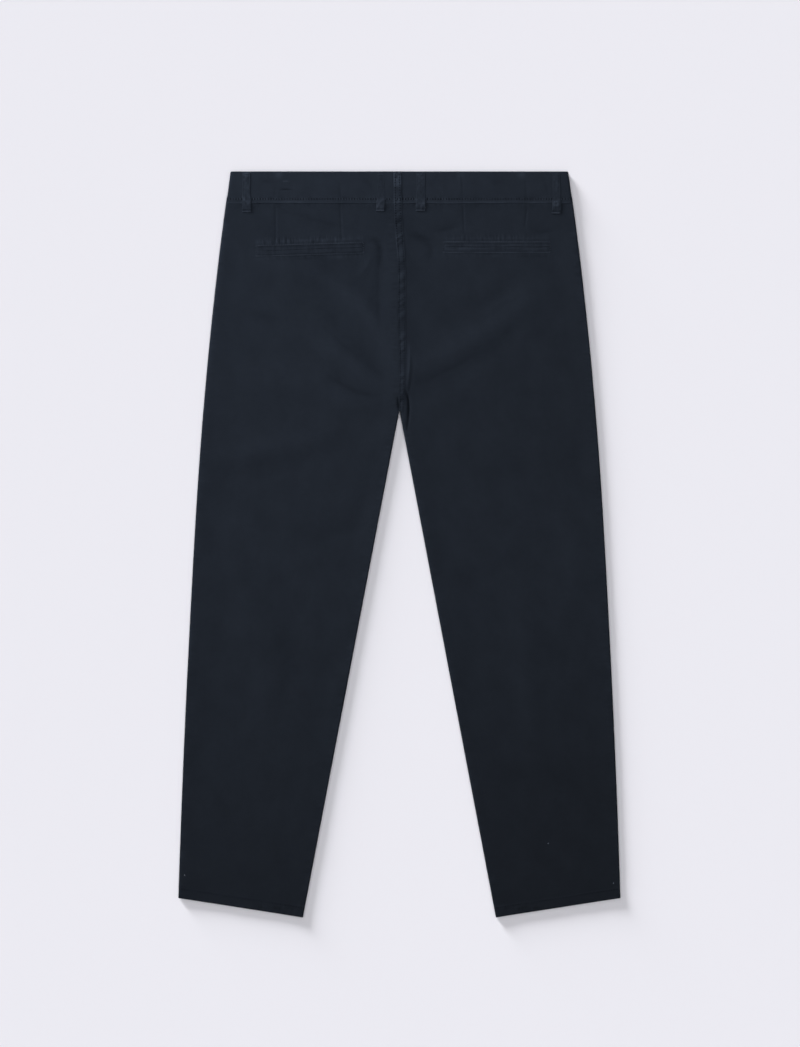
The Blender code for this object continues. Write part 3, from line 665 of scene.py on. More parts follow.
def back(side):
    """The points of a back panel, from the waistband to the hem, with where they were cut."""
    below = [BAND_DEPTH - 6 * MM]
    for run in BACK_ROWS:
        below += list(np.linspace(below[-1], run.below, run.rows + 1)[1:])
    below = np.array([*below, *(LENGTH - HEM_DEPTH + HEM_ROWS)])[:, None]
    start_x = np.where(below < CROTCH_BELOW, through(CENTRE_SEAM, below), 0)
    start_x = start_x + side * inseam_x(below)
    way_x, way_y, length = to_outseam(side, start_x, below)
    edge = through(EDGE_HEIGHT, below)
    radius = edge / 2
    fell = through(CENTRE_SEAM, below, 2)
    rolled = step(CROTCH_BELOW, CROTCH_BELOW + ROLL_RUN, below)
    # how far across the panel each column is
    first, last = fell + 1 * MM, length - radius
    shares = [np.linspace(0, 1, BACK_COLUMNS) ** COLUMN_CROWDING]
    for dart in (*DARTS, CROTCH_CREASE):
        if dart.x0 * side > 0:
            j = np.searchsorted(below[:, 0], (dart.below0 + dart.below1) / 2 * MM)
            place = abs((dart.x0 + dart.x1) / 2 * MM - start_x[j, 0])
            beside = (place + DART_COLUMNS - first[j, 0]) / (last[j, 0] - first[j, 0])
            shares.append(beside[beside > LEAST_SHARE])
    shares = np.sort(np.concatenate(shares))[:-1]
    strip = [mix(radius, fell - STRIP_STEP, STRIP_SHARES[side])]
    strip += [fell - STRIP_STEP, fell - STRIP_STEP / 2, fell]
    distance = panel_columns(radius, length, [*strip, mix(first, last, shares)])
    x = start_x + way_x / length * distance
    y = WAIST_Y - below + way_y / length * distance
    down = WAIST_Y - y
    # the cloth's face
    folds, creases = fold_heights(x, down, FOLDS), fold_heights(x, down, CREASES)
    top = back_height(down, distance, length - distance, folds)
    near = np.minimum(distance, length - distance)
    top += creases * (1 - 0.5 * hump(near, 0, 6 * MM) * rolled)
    top += HEM_RAMP * step(BAND_HEM + 9 * MM, BAND_HEM, down)
    off_seams = step(0, 4 * MM, length - distance) * mix(1, step(0, 4 * MM, distance), rolled)
    top += lie(x, y, side) * off_seams
    top += puckers(down, length - distance, OUTSEAM_PUCKER, side)
    top += puckers(down, distance, INSEAM_PUCKER, side)
    hem_in = LENGTH - HEM_DEPTH
    top += HEM_EXTRA * step(hem_in - 1 * MM, hem_in + 1 * MM, below)
    # the rolled edges, down to the seams
    turn, share = np.ones_like(distance), np.zeros_like(distance)
    turn[:, TURNS:ROLLS], share[:, TURNS:ROLLS] = ROLL_UP, rolled
    turn[:, -ROLLS:-TURNS], share[:, -ROLLS:-TURNS] = ROLL_UP[::-1], 1
    z = mix(top, mix(edge / 2, top, turn), share)
    z[:, :TURNS] = mix(top[:, TURNS : TURNS + 1] - TWO_LAYERS, edge / 2 + TURN_OFF, rolled)
    z[:, -TURNS:] = edge / 2 + TURN_OFF[::-1]
    wear_and_shade, drawn = worn(x, y, side)
    seams = hump(length - distance, 0, 5 * MM) + rolled * hump(distance, 0, 5 * MM)
    wear_and_shade += 0.3 * seams * (0.6 + 0.6 * uneven(down, 9 * MM, BACK_SEEDS["seams"] + side))
    # paler on fold ridges, partly rubbed and partly painted highlight, and painted shade in troughs
    # and creases
    wear_and_shade += (FOLD_WEAR_AND_SHADE * folds + CREASE_WEAR_AND_SHADE * creases) / MM
    drawn -= 0.5 * hump(near, 4 * MM, 5 * MM)
    if side == RIGHT:
        ends_at_crotch = step(CROTCH_BELOW, CROTCH_BELOW - 20 * MM, below)
        across = step(fell, fell - STRIP_STEP, distance) * ends_at_crotch
        z += (STRIP_RISE - STRIP_EDGE * hump(distance, 0, 0.9 * MM)) * across
        z[:, :TURNS] = mix(z[:, TURNS : TURNS + 1] - TWO_LAYERS + STRIP_EDGE, z[:, :TURNS], rolled)
        rope = uneven(down + 0.7 * distance, 3.6 * MM, BACK_SEEDS["rope"])
        on_strip = step(fell, fell - 2.5 * MM, distance) * step(0.4 * MM, 2 * MM, distance)
        on_strip = on_strip * (1 - rolled)
        z += 0.24 * MM * rope * on_strip
        twin_rows = hump(np.abs(distance / fell - 0.46) * fell, 0.26 * fell, 0.8 * MM)
        z -= 0.14 * MM * twin_rows * on_strip
        # paler on the ropes' crests, partly rubbed and partly painted highlight, and painted shade
        # in the twin rows' grooves
        wear_and_shade += on_strip * (0.2 + 0.75 * rope - 0.4 * twin_rows)
        edge_wear = 0.9 * through(SEAM_WEAR, below) - 0.5 * step(100 * MM, 135 * MM, below)
        edge_wear = edge_wear * (0.8 + 0.5 * uneven(down, 7 * MM, BACK_SEEDS["rope's edge"]))
        wear_and_shade += edge_wear * hump(distance, 0.6 * MM, 1.1 * MM) * (1 - rolled)
    else:
        flat = rolled == 0
        x[:, :TURNS] = np.where(flat, start_x + UNDER_STRIP, x[:, :TURNS])
        z[:, :TURNS] = np.where(flat, z[:, TURNS : TURNS + 1] - UNDER_DROP, z[:, :TURNS])
    points = np.stack((x, y, z), axis=2)
    cut = np.stack((side * distance, -below * np.ones_like(distance)), axis=2)
    shape = (points, cut, wear_and_shade, drawn)
    return [array[::-1, ::-1] if side == LEFT else array[::-1] for array in shape]


backs = {}
for side, word in SIDES:
    backs[side] = cloth_piece(f"back_{word}", back(side))

# Sewing thread. Polyester, dyed with the cloth a little paler than it: each stitch is a short
# length of thread that dips into the twill at both ends, where the needle leaves a small pit.
# The shade in each pit is painted in as a small dark bead.

STITCH_PITCH = 3.6 * MM
STITCH_SIZE = Vector((0.95, 0.42, 2.2)) * MM  # across, up and along
PIT_SHADE_SIZE = Vector((1.5, 0.27, 1.6)) * MM
STITCH_VARIES, PIT_SHADE_VARIES = (0.88, 1.1), (0.8, 1.1)
STITCH_FILLS = (0.54, 0.66)  # how much of the pitch shows as thread
STITCH_WANDER = 0.05  # in millimetres, and as a share of the pitch
STITCH_RAISED = 0.12  # how much of its height its middle is above the cloth
TACK_PITCH = 0.75 * MM
TACK_VARIES, TACK_SLANT = (0.85, 1.15), 0.25
LEAST_CLEAR = 0.06 * MM  # above the surface the trousers lie on


def thread(name, dark, pale, takes_painted_falloff=False, gloss=0.1, roughness=0.6):
    """Two-ply thread: fine bands of light and dark, rubbed in patches, slightly glossy."""
    material, tree, shader = new_material(name, roughness, gloss)
    place = node(tree, "TexCoord", "Object", {})
    ply = node(tree, "TexNoise", "Fac", {"Scale": 900, "Detail": 2, "Vector": place})
    patches = node(tree, "TexNoise", "Fac", {"Scale": 55, "Detail": 0, "Vector": place})
    shade = maths(tree, "MULTIPLY", maths(tree, "MULTIPLY", ply, patches), 2)
    colour = between(tree, shade, dark, pale)
    twisted = {"Strength": 0.4, "Distance": 0.05 * MM, "Height": ply}
    normal = node(tree, "Bump", "Normal", twisted)
    # with takes_painted_falloff the thread gets the cloth's painted shade for light falloff
    set_inputs(shader, {"Base Color": with_painted_falloff(tree, colour) if takes_painted_falloff else colour, "Normal": normal})
    return material


NAVY_THREAD = thread("navy thread", (0.0070, 0.0102, 0.0175), (0.0300, 0.0410, 0.0630), takes_painted_falloff=True)
WORN_THREAD = thread("worn thread", (0.0120, 0.0170, 0.0270), (0.0550, 0.0680, 0.0950), takes_painted_falloff=True)
# painted shade: near-black beads standing for the shade in each needle pit
NEEDLE_PIT_SHADE = thread("needle pit shade", (0.0012, 0.0016, 0.0025), (0.0030, 0.0040, 0.0060), gloss=0)


def tree_of(pieces):
    """The pieces' outer faces together, for laying other things on them."""
    points, faces = [], []
    for piece in pieces:
        first = len(points)
        points += [v.co.copy() for v in piece.data.vertices]
        faces += [[first + i for i in p.vertices] for p in piece.data.polygons]
    return BVHTree.FromPolygons(points, faces)


def touch(tree, x, y, from_below=False):
    """The point and the outward direction of the cloth at x and y, seen from above or below."""
    way = Vector((0, 0, 1 if from_below else -1))
    at, normal = tree.ray_cast(Vector((x, y, 0)) - way, way)[:2]
    if at is None:
        return None, None
    return at, (normal if normal.dot(way) < 0 else -normal)


def stitch_place(at, along, normal, size, from_below=False):
    """How a bead of that size is turned and stretched to lie along the seam, sunk in the cloth."""
    if from_below:
        normal = Vector((0, 0, -1))
    along = (along - normal * along.dot(normal)).normalized()
    turn = Matrix((normal.cross(along), normal, along)).transposed().to_4x4()
    at = at + normal * size.y * STITCH_RAISED
    if from_below:
        at.z = max(at.z, size.y / 2 + LEAST_CLEAR / 2)
    return Matrix.Translation(at) @ turn @ Matrix.Diagonal((*size, 1))


def sew(places, pit_shades, tree, line, pitch=STITCH_PITCH, from_below=False, seed=0, pit=PIT_SHADE_SIZE):
    """A row of stitches along a line of (x, y) points, with dark beads between them as painted
    shade in the needle's pits.
    """
    line = np.array([tuple(p) for p in line])
    marks = np.concatenate(([0], np.cumsum(np.hypot(*np.diff(line, axis=0).T))))
    count = int(marks[-1] / pitch)
    draw = np.random.default_rng(seed)

    def on_line(mark):
        return Vector((np.interp(mark, marks, line[:, 0]), np.interp(mark, marks, line[:, 1]), 0))

    for i in range(count):
        mark = (i + 0.5) * marks[-1] / count
        spot = on_line(mark) + Vector((*draw.normal(0, STITCH_WANDER * MM, 2), 0))
        turned = Vector(draw.normal(0, STITCH_WANDER * pitch, 3))
        along = on_line(mark + 0.3 * pitch) - spot + turned
        size = STITCH_SIZE * draw.uniform(*STITCH_VARIES)
        size.z = pitch * draw.uniform(*STITCH_FILLS)
        at, normal = touch(tree, spot.x, spot.y, from_below)
        if at is None:
            continue
        places.append(stitch_place(at, along, normal, size, from_below))
        hole = on_line(mark + 0.5 * pitch)
        at, normal = touch(tree, hole.x, hole.y, from_below)
        if at is not None:
            size = pit * draw.uniform(*PIT_SHADE_VARIES)
            pit_shades.append(stitch_place(at, along, normal, size, from_below))


def tack(places, tree, start, end, depth, from_below=False, seed=0):
    """A bar tack: close stitches across the line from start to end."""
    start, end = Vector(start), Vector(end)
    way = (end - start).normalized()
    count = round((end - start).length / TACK_PITCH)
    draw = np.random.default_rng(seed)
    for i in range(count):
        spot = start.lerp(end, (i + 0.5) / count)
        at, normal = touch(tree, spot.x, spot.y, from_below)
        if at is None:
            continue
        slant = draw.uniform(-TACK_SLANT, TACK_SLANT)
        across = Vector((-way.y, way.x, 0)) + Vector((way.x, way.y, 0)) * slant
        size = Vector((TACK_PITCH * 0.9, 0.45 * MM, depth * draw.uniform(*TACK_VARIES)))
        places.append(stitch_place(at, across, normal, size, from_below))


def plain_piece(name, mesh, material):
    """A finished piece with nothing of the frame in its place."""
    mesh.shade_smooth()
    mesh.materials.append(material)
    piece = placed(name, mesh)
    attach(piece, "root")
    return piece


def beads(name, places, material):
    """One small round bead, repeated at every place and joined into a single piece."""
    bm = bmesh.new()
    bmesh.ops.create_uvsphere(bm, u_segments=6, v_segments=5, radius=0.5)
    bm.verts.index_update()
    bead = np.array([v.co for v in bm.verts])
    rounds = [[v.index for v in face.verts] for face in bm.faces]
    bm.free()
    points = [bead @ np.array(place.to_3x3()).T + np.array(place.translation) for place in places]
    points = np.concatenate(points)
    faces = [[i + k * len(bead) for i in face] for k in range(len(places)) for face in rounds]
    mesh = bpy.data.meshes.new(name)
    mesh.from_pydata(points.tolist(), [], faces)
    # the cloth's painted shade for light falloff, on the beads too
    painted_falloff = painted_falloff_at(points[:, 0], WAIST_Y - points[:, 1])
    mesh.attributes.new("painted_falloff", "FLOAT", "POINT").data.foreach_set("value", painted_falloff.astype(np.float32))
    return plain_piece(name, mesh, material)


# Waistband. Two halves of the same twill, each a strip folded along its top and sewn round the
# waist from the centre back to the centre front. Its lower edge is topstitched, and the right
# half ends in the felled centre-back seam.

BAND_HEIGHT = 7.2 * MM
TOPSTITCH_BELOW = 37.0 * MM
BandRow = namedtuple("BandRow", "below inset")  # from the inner layer over the top to the seam
BAND_FOLD = in_mm(BandRow, [
    (9.0, 1.8),
    (5.0, 1.8),
    (2.0, 1.8),
    (0.9, 1.65),
    (0.3, 1.3),
    (0.0, 0.9),
    (0.25, 0.5),
    (0.8, 0.2),
])
BAND_TOP_ROW = 5  # along the fold, with the inner layer before it
BAND_FLAT_ROWS = 36
BAND_STITCH_ROWS = np.linspace(34.4 * MM, 40.8 * MM, 12)  # round the topstitch
BAND_TURN = np.radians(np.linspace(90, -90, 15))[1:-1]  # round its side, from the back to the front
TOPSTITCH_PUCKER = Pucker(5 * MM, 6 * MM, 0.15 * MM, 21)
BAND_SEEDS = {"stitch": 11, "waves": 31, "ripples": 41, "top": 51, "hem": 53}
BAND_SEEDS |= {"wander": 61, "rope": 96}
BAND_EDGE = [
    BandRow(BAND_HEM - 0.7 * MM, 0.0 * MM),
    BandRow(BAND_HEM - 0.25 * MM, 0.12 * MM),
    BandRow(BAND_HEM, 0.45 * MM),
    BandRow(BAND_HEM - 0.1 * MM, 1.0 * MM),
    BandRow(BAND_HEM - 0.9 * MM, 1.5 * MM),
]
BAND_BACK_COLUMNS, BAND_FRONT_COLUMNS = 165, 110
FRONT_LOOP_X = 118 * MM
FRONT_LOOP_WIDTH = 12 * MM
LOOP_RECESS = 1.8 * MM  # how far the band rides up over a front loop
BAND_CREASES = [Fold(*row) for row in (
    # the darts show through the band as upright lines
    (-79.7, 18, -79.0, 30, -78.6, 41, 1.5, -0.4, CRISP),
    (82.7, 1, 83.8, 18, 85.2, 40, 1.7, -0.4, CRISP),
    (80.3, 2, 81.5, 14, 82.3, 27, 1.7, 0.35, CRISP),
    (168.2, 10, 170.0, 26, 171.3, 41, 1.6, -0.45, CRISP),
    (-166.6, 22, -166.3, 31, -166.3, 41, 1.6, -0.35, CRISP),
    # short creases
    (-186, 15, -176, 14, -166, 17, 2.4, -0.3),
    (-158.5, 24.4, -151, 24.1, -144.7, 24.4, 1.0, -0.7, CRISP),
    (-158, 26.6, -151, 26.4, -145, 26.6, 1.0, 0.35, CRISP),
    (-44, 12, -38, 18, -34, 27, 3.0, -0.3),
    (52, 20, 57, 24, 60, 33, 3.0, 0.3),
    (120, 8, 128, 14, 140, 15, 3.5, -0.25),
    (-120, 9, -104, 15, -86, 14, 5.0, 0.3),
    (190, 6, 197, 18, 199, 30, 3.2, -0.3),
)]
BAND_RUBS_AND_SHADE = [RubAndShadeSpot(*row) for row in (  # where the band is rubbed pale, in millimetres, and under 0 painted shade
    (-162, 4, 5, 5, 0.9),
    (82, 3, 4, 8, 0.45),
    (164, 3.5, 5, 5, 1.0),
    (-145, 41.6, 24, 1.5, 0.7),
    (-152, 13.2, 3.4, 1.0, 1.1),
    # painted shade: the dark line along the short crease at the left
    (-151.4, 24.4, 6.5, 0.9, -0.9),
    (60, 41.6, 30, 1.2, 0.6),
    (122, 41.6, 30, 1.2, 0.9),
    (190, 41.6, 20, 1.2, 0.7),
)]


def band_half(side):
    """The points of half the waistband, with where they were cut and their wear and painted shade.
    """
    flat = [*np.linspace(1.8 * MM, BAND_STITCH_ROWS[0] - 1 * MM, BAND_FLAT_ROWS), *BAND_STITCH_ROWS]
    profile = [*BAND_FOLD, *(BandRow(below, 0) for below in flat), *BAND_EDGE]
    radius = BAND_HEIGHT / 2
    seeds = {place: seed + side for place, seed in BAND_SEEDS.items()}
    rows, cut, wear_and_shade, drawn = [], [], [], []
    laid = 0
    for j, (below, inset) in enumerate(profile):
        width = through(SIDE, below)
        seam_x = through(CENTRE_SEAM, below)
        fell = through(CENTRE_SEAM, below, 2)
        if side == RIGHT:
            strip = [0, 0.12 * MM, 0.4 * MM, *np.linspace(1 * MM, fell - FELL_STEP, 9)]
            inner = seam_x + np.array([*strip, fell - FELL_STEP / 2, fell])
        else:
            inner = -(seam_x + np.array((3, 2, 1, 0.3)) * MM)
        even_x = np.linspace(inner[-1] + 1 * MM, width - radius, BAND_BACK_COLUMNS)
        back_x = np.concatenate((inner, even_x))
        front_x = np.linspace(width - radius, 0.2 * MM, BAND_FRONT_COLUMNS)
        x = np.concatenate((back_x, width - radius + radius * np.cos(BAND_TURN), front_x))
        nx = np.concatenate((back_x * 0, np.cos(BAND_TURN), front_x * 0))
        nz = np.concatenate((back_x * 0 + 1, np.sin(BAND_TURN), front_x * 0 - 1))
        z = radius + radius * nz
        run = np.concatenate(([0], np.cumsum(np.hypot(np.diff(x), np.diff(z)))))
        at_x, down = side * x, np.full_like(x, below)
        outside = j >= BAND_TOP_ROW
        # the cloth's own relief, outwards
        from_stitch = below - TOPSTITCH_BELOW
        stitched = hump(below, TOPSTITCH_BELOW, 0.8 * MM)
        nubbly = uneven(run, 1.9 * MM, seeds["stitch"])
        creases = fold_heights(at_x, down, BAND_CREASES)
        lift = 0.2 * MM * hump(below, BAND_HEM - 1.1 * MM, 1.1 * MM) - 0.2 * MM * stitched
        lift = lift + 0.1 * MM * nubbly * hump(from_stitch, 0, 1.8 * MM)
        lift = lift + puckers(run, from_stitch, TOPSTITCH_PUCKER, side)
        lift = lift + 0.22 * MM * rumpled(run, down * 1.3, 19 * MM, seeds["waves"])
        lift = lift + 0.05 * MM * rumpled(run, down, 7 * MM, seeds["ripples"])
        lift = lift + creases * (nz > 0)
        lift = lift * outside
        on_loop = np.abs(x - FRONT_LOOP_X) - FRONT_LOOP_WIDTH / 2
        recess = LOOP_RECESS * step(4 * MM, 1 * MM, on_loop)
        patchy = uneven(run, 14 * MM, seeds["top"])
        edges = 0.7 * hump(below, 0, 1.4 * MM) * (0.6 + 0.5 * patchy)
        patchy = uneven(run, 19 * MM, seeds["hem"])
        edges += 0.55 * hump(below, BAND_HEM - 0.6 * MM, 1.0 * MM) * (0.9 + 0.6 * patchy)
        # painted shade along the topstitch's groove, and painted light and shade on the nubs beside
        # it
        edges -= 0.1 * stitched - 0.5 * hump(from_stitch, 0, 1.5 * MM) * nubbly
        rub_and_shade = 0.06 + edges + rubs_and_shade(BAND_RUBS_AND_SHADE, at_x, down) * (nz > 0)
        # painted shade in the band's creases, paler on its ridges
        rub_and_shade += CREASE_WEAR_AND_SHADE * creases / MM * (nz > 0)
        if side == RIGHT:
            across = x - seam_x
            blotch = rumpled(x, down, 3.8 * MM, seeds["rope"]) * (nz > 0)
            on_strip = step(fell, fell - 2 * MM, across) * step(0, 1.5 * MM, across)
            lift = lift + outside * 0.25 * MM * blotch * on_strip
            lift = lift + FELL_HEIGHT * step(fell, fell - FELL_STEP, across) * (nz > 0)
            lift[:3] -= np.array((0.7, 0.25, 0.06)) * MM
            rubbed = through(SEAM_WEAR, below)
            rub_and_shade = rub_and_shade + on_strip * (0.7 * rubbed + (0.6 + 1.1 * rubbed) * blotch)
            edge, row = step(2 * MM, 0.5 * MM, across), hump(across, fell - 1.4 * MM, 0.8 * MM)
            rub_and_shade = rub_and_shade + rubbed * (1.1 * edge + 0.6 * row)
        else:
            lift[:4] = -0.12 * MM
        out = lift - inset - recess * (nz < 0)
        x, z = x + nx * out, z + nz * out
        z = np.where(nz < 0, np.maximum(z, LEAST_CLEAR), z)
        wander = 0.45 * MM * uneven(run, 34 * MM, seeds["wander"])
        wander = wander * step(25 * MM, BAND_DEPTH, below)
        rows.append(np.stack((side * x, WAIST_Y - below - wander, z), axis=1))
        if j:
            laid += np.hypot(below - profile[j - 1].below, inset - profile[j - 1].inset)
        cut.append(np.stack((side * run, np.full_like(run, -laid)), axis=1))
        wear_and_shade.append(np.clip(rub_and_shade, -0.8, 1.7))
        puckered = 0.7 * hump(from_stitch, 0, 3.5 * MM) + 0.4 * hump(below, 0, 5 * MM)
        drawn.append(np.full_like(run, puckered))
    shape = [np.array(array[::-1]) for array in (rows, cut, wear_and_shade, drawn)]
    return shape if side == RIGHT else [array[:, ::-1] for array in shape]


bands = {}
for side, word in SIDES:
    bands[side] = cloth_piece(f"waistband_{word}", band_half(side))

# Jetted back pockets. Each mouth is bound by two narrow folded welts of the same twill, set into
# the back and edge-stitched all round, with a bar tack at each end.

TRIM_CLOTH = 0.5 * MM  # the welts' and the loops' twill is pressed thin
WELT_LENGTH_POINTS = 90
WELT_SEED, LIP_SEED = 70, 77
WELT_MAP_DOWN = 0.3  # in metres, where a welt's map starts
WELT_WEAR = {LEFT: 0.35, RIGHT: 1.0}
WELT_DARKER = {LEFT: 0.12, RIGHT: 0.0}  # how much darker they are all over
WeltEdge = namedtuple("WeltEdge", "worn kept")  # along its edge stitch how rubbed it is, and just inside it how much painted shade it has
WELT_EDGES = {"upper": WeltEdge(0.25, 0.55), "lower": WeltEdge(0.9, 0.2)}
WeltRow = namedtuple("WeltRow", "share lift")  # from the mouth to the seam
WELT_ROWS = in_mm(WeltRow, [
    (0.05, -1.0),
    (0.01, -0.4),
    (0.0, 0.1),
    (0.035, 0.35),
    (0.085, 0.5),
    (0.24, 0.5),
    (0.38, 0.38),
    (0.52, 0.36),
    (0.66, 0.45),
    (0.82, 0.4),
    (0.94, 0.2),
    (1.00, -0.4),
], shares="share")
seat_tree = tree_of(backs.values())


def evened(heights, times):
    """Heights with each one drawn towards its neighbours, that many times."""
    for _ in range(times):
        heights[1:-1] = (heights[:-2] + 2 * heights[1:-1] + heights[2:]) / 4
    return heights


def heights_under(tree, xs, ys):
    return np.array([touch(tree, x, y)[0].z for x, y in zip(xs, ys)])


def welt(pocket, which):
    """The points of one welt. up is 1 above the mouth and -1 below it."""
    up = 1 if which == "upper" else -1
    edge = WELT_EDGES[which]
    start, along, length = mouth_of(pocket)
    across = np.array((-along[1], along[0])) * up
    run = np.linspace(0, length, WELT_LENGTH_POINTS)
    spine = start[None] + run[:, None] * along[None]
    middle = spine + across * WELT_DEPTH / 2
    base = evened(heights_under(seat_tree, *middle.T), 6)
    seed = WELT_SEED + pocket.side * 3 + up
    lip = 0.7 * MM * uneven(run, 24 * MM, LIP_SEED + pocket.side)  # the same for both, so they meet
    gape = 0.05 * MM * (1 + uneven(run, 17 * MM, seed))
    ends = np.minimum(run, length - run)
    dip = 0.6 * MM * hump(ends, 0, 2.2 * MM)
    rows, cut, wear_and_shade = [], [], []
    for row in WELT_ROWS:
        out = mix(gape + up * lip, WELT_DEPTH, row.share)
        ridged = 0.12 * MM * uneven(run, 4.2 * MM, seed + 10) * row.share
        ridged += 0.16 * MM * uneven(run + out * 3, 10 * MM, seed + 20)
        flat = spine + across * out[:, None]
        z = base + row.lift + ridged * (row.lift > 0) - dip
        rows.append(np.column_stack((flat, z)))
        cut.append(np.column_stack((run, WELT_MAP_DOWN + up * out)))
        patchy = 0.5 + 0.6 * uneven(run, 13 * MM, seed + 30)
        # pale along the lips, partly rubbed and partly painted highlight, and painted shade at the
        # mouth
        lines = 0.8 * hump(row.share, 0.22, 0.14) - 0.4 * hump(row.share, 0, 0.06)
        beyond = 0.5 * hump(row.share, 0.5, 0.16) * (0.5 + uneven(run, 19 * MM, seed + 40))
        stitched = edge.worn * EDGE_WEAR[pocket.side] * hump(row.share, 0.96, 0.09)
        # painted shade just inside the edge stitch, and each pocket's welts darker all over
        stitched -= edge.kept * hump(row.share, 0.8, 0.11) + WELT_DARKER[pocket.side]
        wear_and_shade.append(WELT_WEAR[pocket.side] * (lines * patchy + beyond) + stitched)
    drawn = np.full(np.shape(wear_and_shade), 0.5)
    return [np.array(array[::up]) for array in (rows, cut, wear_and_shade, drawn)]


welts = {}
for pocket in POCKETS:
    for which in ("upper", "lower"):
        part = f"welt_{which}_{pocket.name}"
        welts[pocket.side, which] = cloth_piece(part, welt(pocket, which), wall=TRIM_CLOTH)

# Belt loops. Narrow strips of twill folded in three, laid over the waistband and tacked down at
# both ends: one near each side and one on each side of the centre-back seam.

# Pressed is how flat its upper part is, from 0 to 1.
Loop = namedtuple("Loop", "name x width end_below lean pressed seed")
BACK_LOOPS = [
    Loop("loop_side_left", -204.6 * MM, 12 * MM, 55.2 * MM, -0.6 * MM, 0.6, 3),
    Loop("loop_back_left", -25.4 * MM, 11 * MM, 53.7 * MM, 1.0 * MM, 1.0, 5),
    Loop("loop_back_right", 28.6 * MM, 13 * MM, 53.7 * MM, 0.0 * MM, 0.7, 7),
    Loop("loop_side_right", 209.9 * MM, 12 * MM, 57.0 * MM, 1.2 * MM, 0.8, 9),
]
LoopRow = namedtuple("LoopRow", "share lift")  # share of its length, and its face above the cloth
LOOP_ROWS = in_mm(LoopRow, [
    (0.00, 1.2),
    (0.06, 1.5),
    (0.20, 1.3),
    (0.45, 1.5),
    (0.66, 1.4),
    (0.76, 1.2),
    (0.86, 1.6),
    (0.96, 1.5),
    (1.00, 1.1),
], shares="share")
LoopColumn = namedtuple("LoopColumn", "share drop")  # share of its width, and down from its face
LOOP_COLUMNS = in_mm(LoopColumn, [  # its turned-under edge
    (-0.36, 1.4),
    (-0.47, 1.25),
    (-0.5, 0.8),
    (-0.48, 0.3),
    (-0.43, 0.05),
], shares="share")
LOOP_COLUMNS += [LoopColumn(share, 0.0) for share in np.linspace(-0.36, 0.36, 13)]
LOOP_COLUMNS += [LoopColumn(-c.share, c.drop) for c in LOOP_COLUMNS[4::-1]]
LOOP_ACROSS = np.array(LOOP_COLUMNS).T[:, None]
LOOP_POINTS = 72
LOOP_STIFF = 4  # points to each side over which it bridges a hollow
LOOP_END_ROWS = np.array((0.25, 0.6, 1.0, 1.5, 2.1)) * MM  # up from its end
LOOP_TACK_UP, LOOP_GROOVE_UP = 1.1 * MM, 3.4 * MM
LOOP_THICK = 1.7 * MM
LOOP_TURN_DROP = 0.9 * MM  # how far its turned-under edges sink where it is pressed flat
LOOP_TOP_BELOW = 1.0 * MM
LOOP_CREASES = [Fold(*row) for row in (
    # the left one beside the centre back is pressed flat, and twisted where it is tacked
    (-28.5, 4, -27.5, 11, -27.0, 19, 1.1, 0.4, CRISP),
    (-31, 20.5, -25, 20, -20, 21, 0.9, 0.45, CRISP),
    (-31, 22.8, -25, 22.4, -20, 23.2, 0.9, -0.45, CRISP),
    (-29.5, 37, -25, 44, -21, 50, 1.3, 0.5, CRISP),
    (-21.5, 36, -26, 43, -30, 50, 1.3, 0.5, CRISP),
    (-25.5, 27, -24.5, 31, -22, 36, 1.2, -0.4, CRISP),
    # the right one is drawn into slanting ridges above its tack
    (23.5, 9, 28, 6, 32.5, 3, 1.2, 0.45, CRISP),
    (24, 15.5, 28.5, 13, 33.5, 9, 1.2, 0.4, CRISP),
    (24, 23, 29, 20.5, 33, 17, 1.3, 0.35, CRISP),
    (25, 30.5, 29, 29, 33, 25, 1.2, -0.4, CRISP),
    # the side ones are ridged along their length
    (-206.5, 2, -206, 12, -207, 22, 1.2, 0.4, CRISP),
    (-203, 14, -202, 21, -202.5, 30, 1.2, 0.35, CRISP),
    (-208, 35, -207.5, 42, -208, 49, 1.1, 0.45, CRISP),
    (-202, 34, -201.5, 41, -201.5, 48, 1.1, 0.35, CRISP),
    (206, 5, 207, 16, 206, 27, 1.2, 0.45, CRISP),
    (212, 3, 212.5, 12, 212, 22, 1.1, 0.35, CRISP),
    (207.5, 37, 208, 44, 208, 51, 1.1, 0.45, CRISP),
    (213, 37, 213, 44, 213, 50, 1.1, 0.4, CRISP),
)]
LOOP_RUBS = [RubAndShadeSpot(*row) for row in (
    (-205, 4, 5, 6, 0.9),
    (-205, 19, 5, 5, 0.45),
    (-205, 37, 6, 5, 0.7),
    (-27, 10, 3, 8, 0.3),
    (-25, 38, 4, 3, 0.15),
    (-25, 48, 4, 3, 0.7),
    (28, 7, 6, 5, 0.5),
    (27, 19, 4, 4, 0.35),
    (29, 45, 6, 4, 0.45),
    (208, 9, 4, 7, 0.6),
    (211, 20, 4, 5, 0.5),
    (210, 42, 5, 6, 0.55),
)]
waist_tree = tree_of([*backs.values(), *bands.values()])


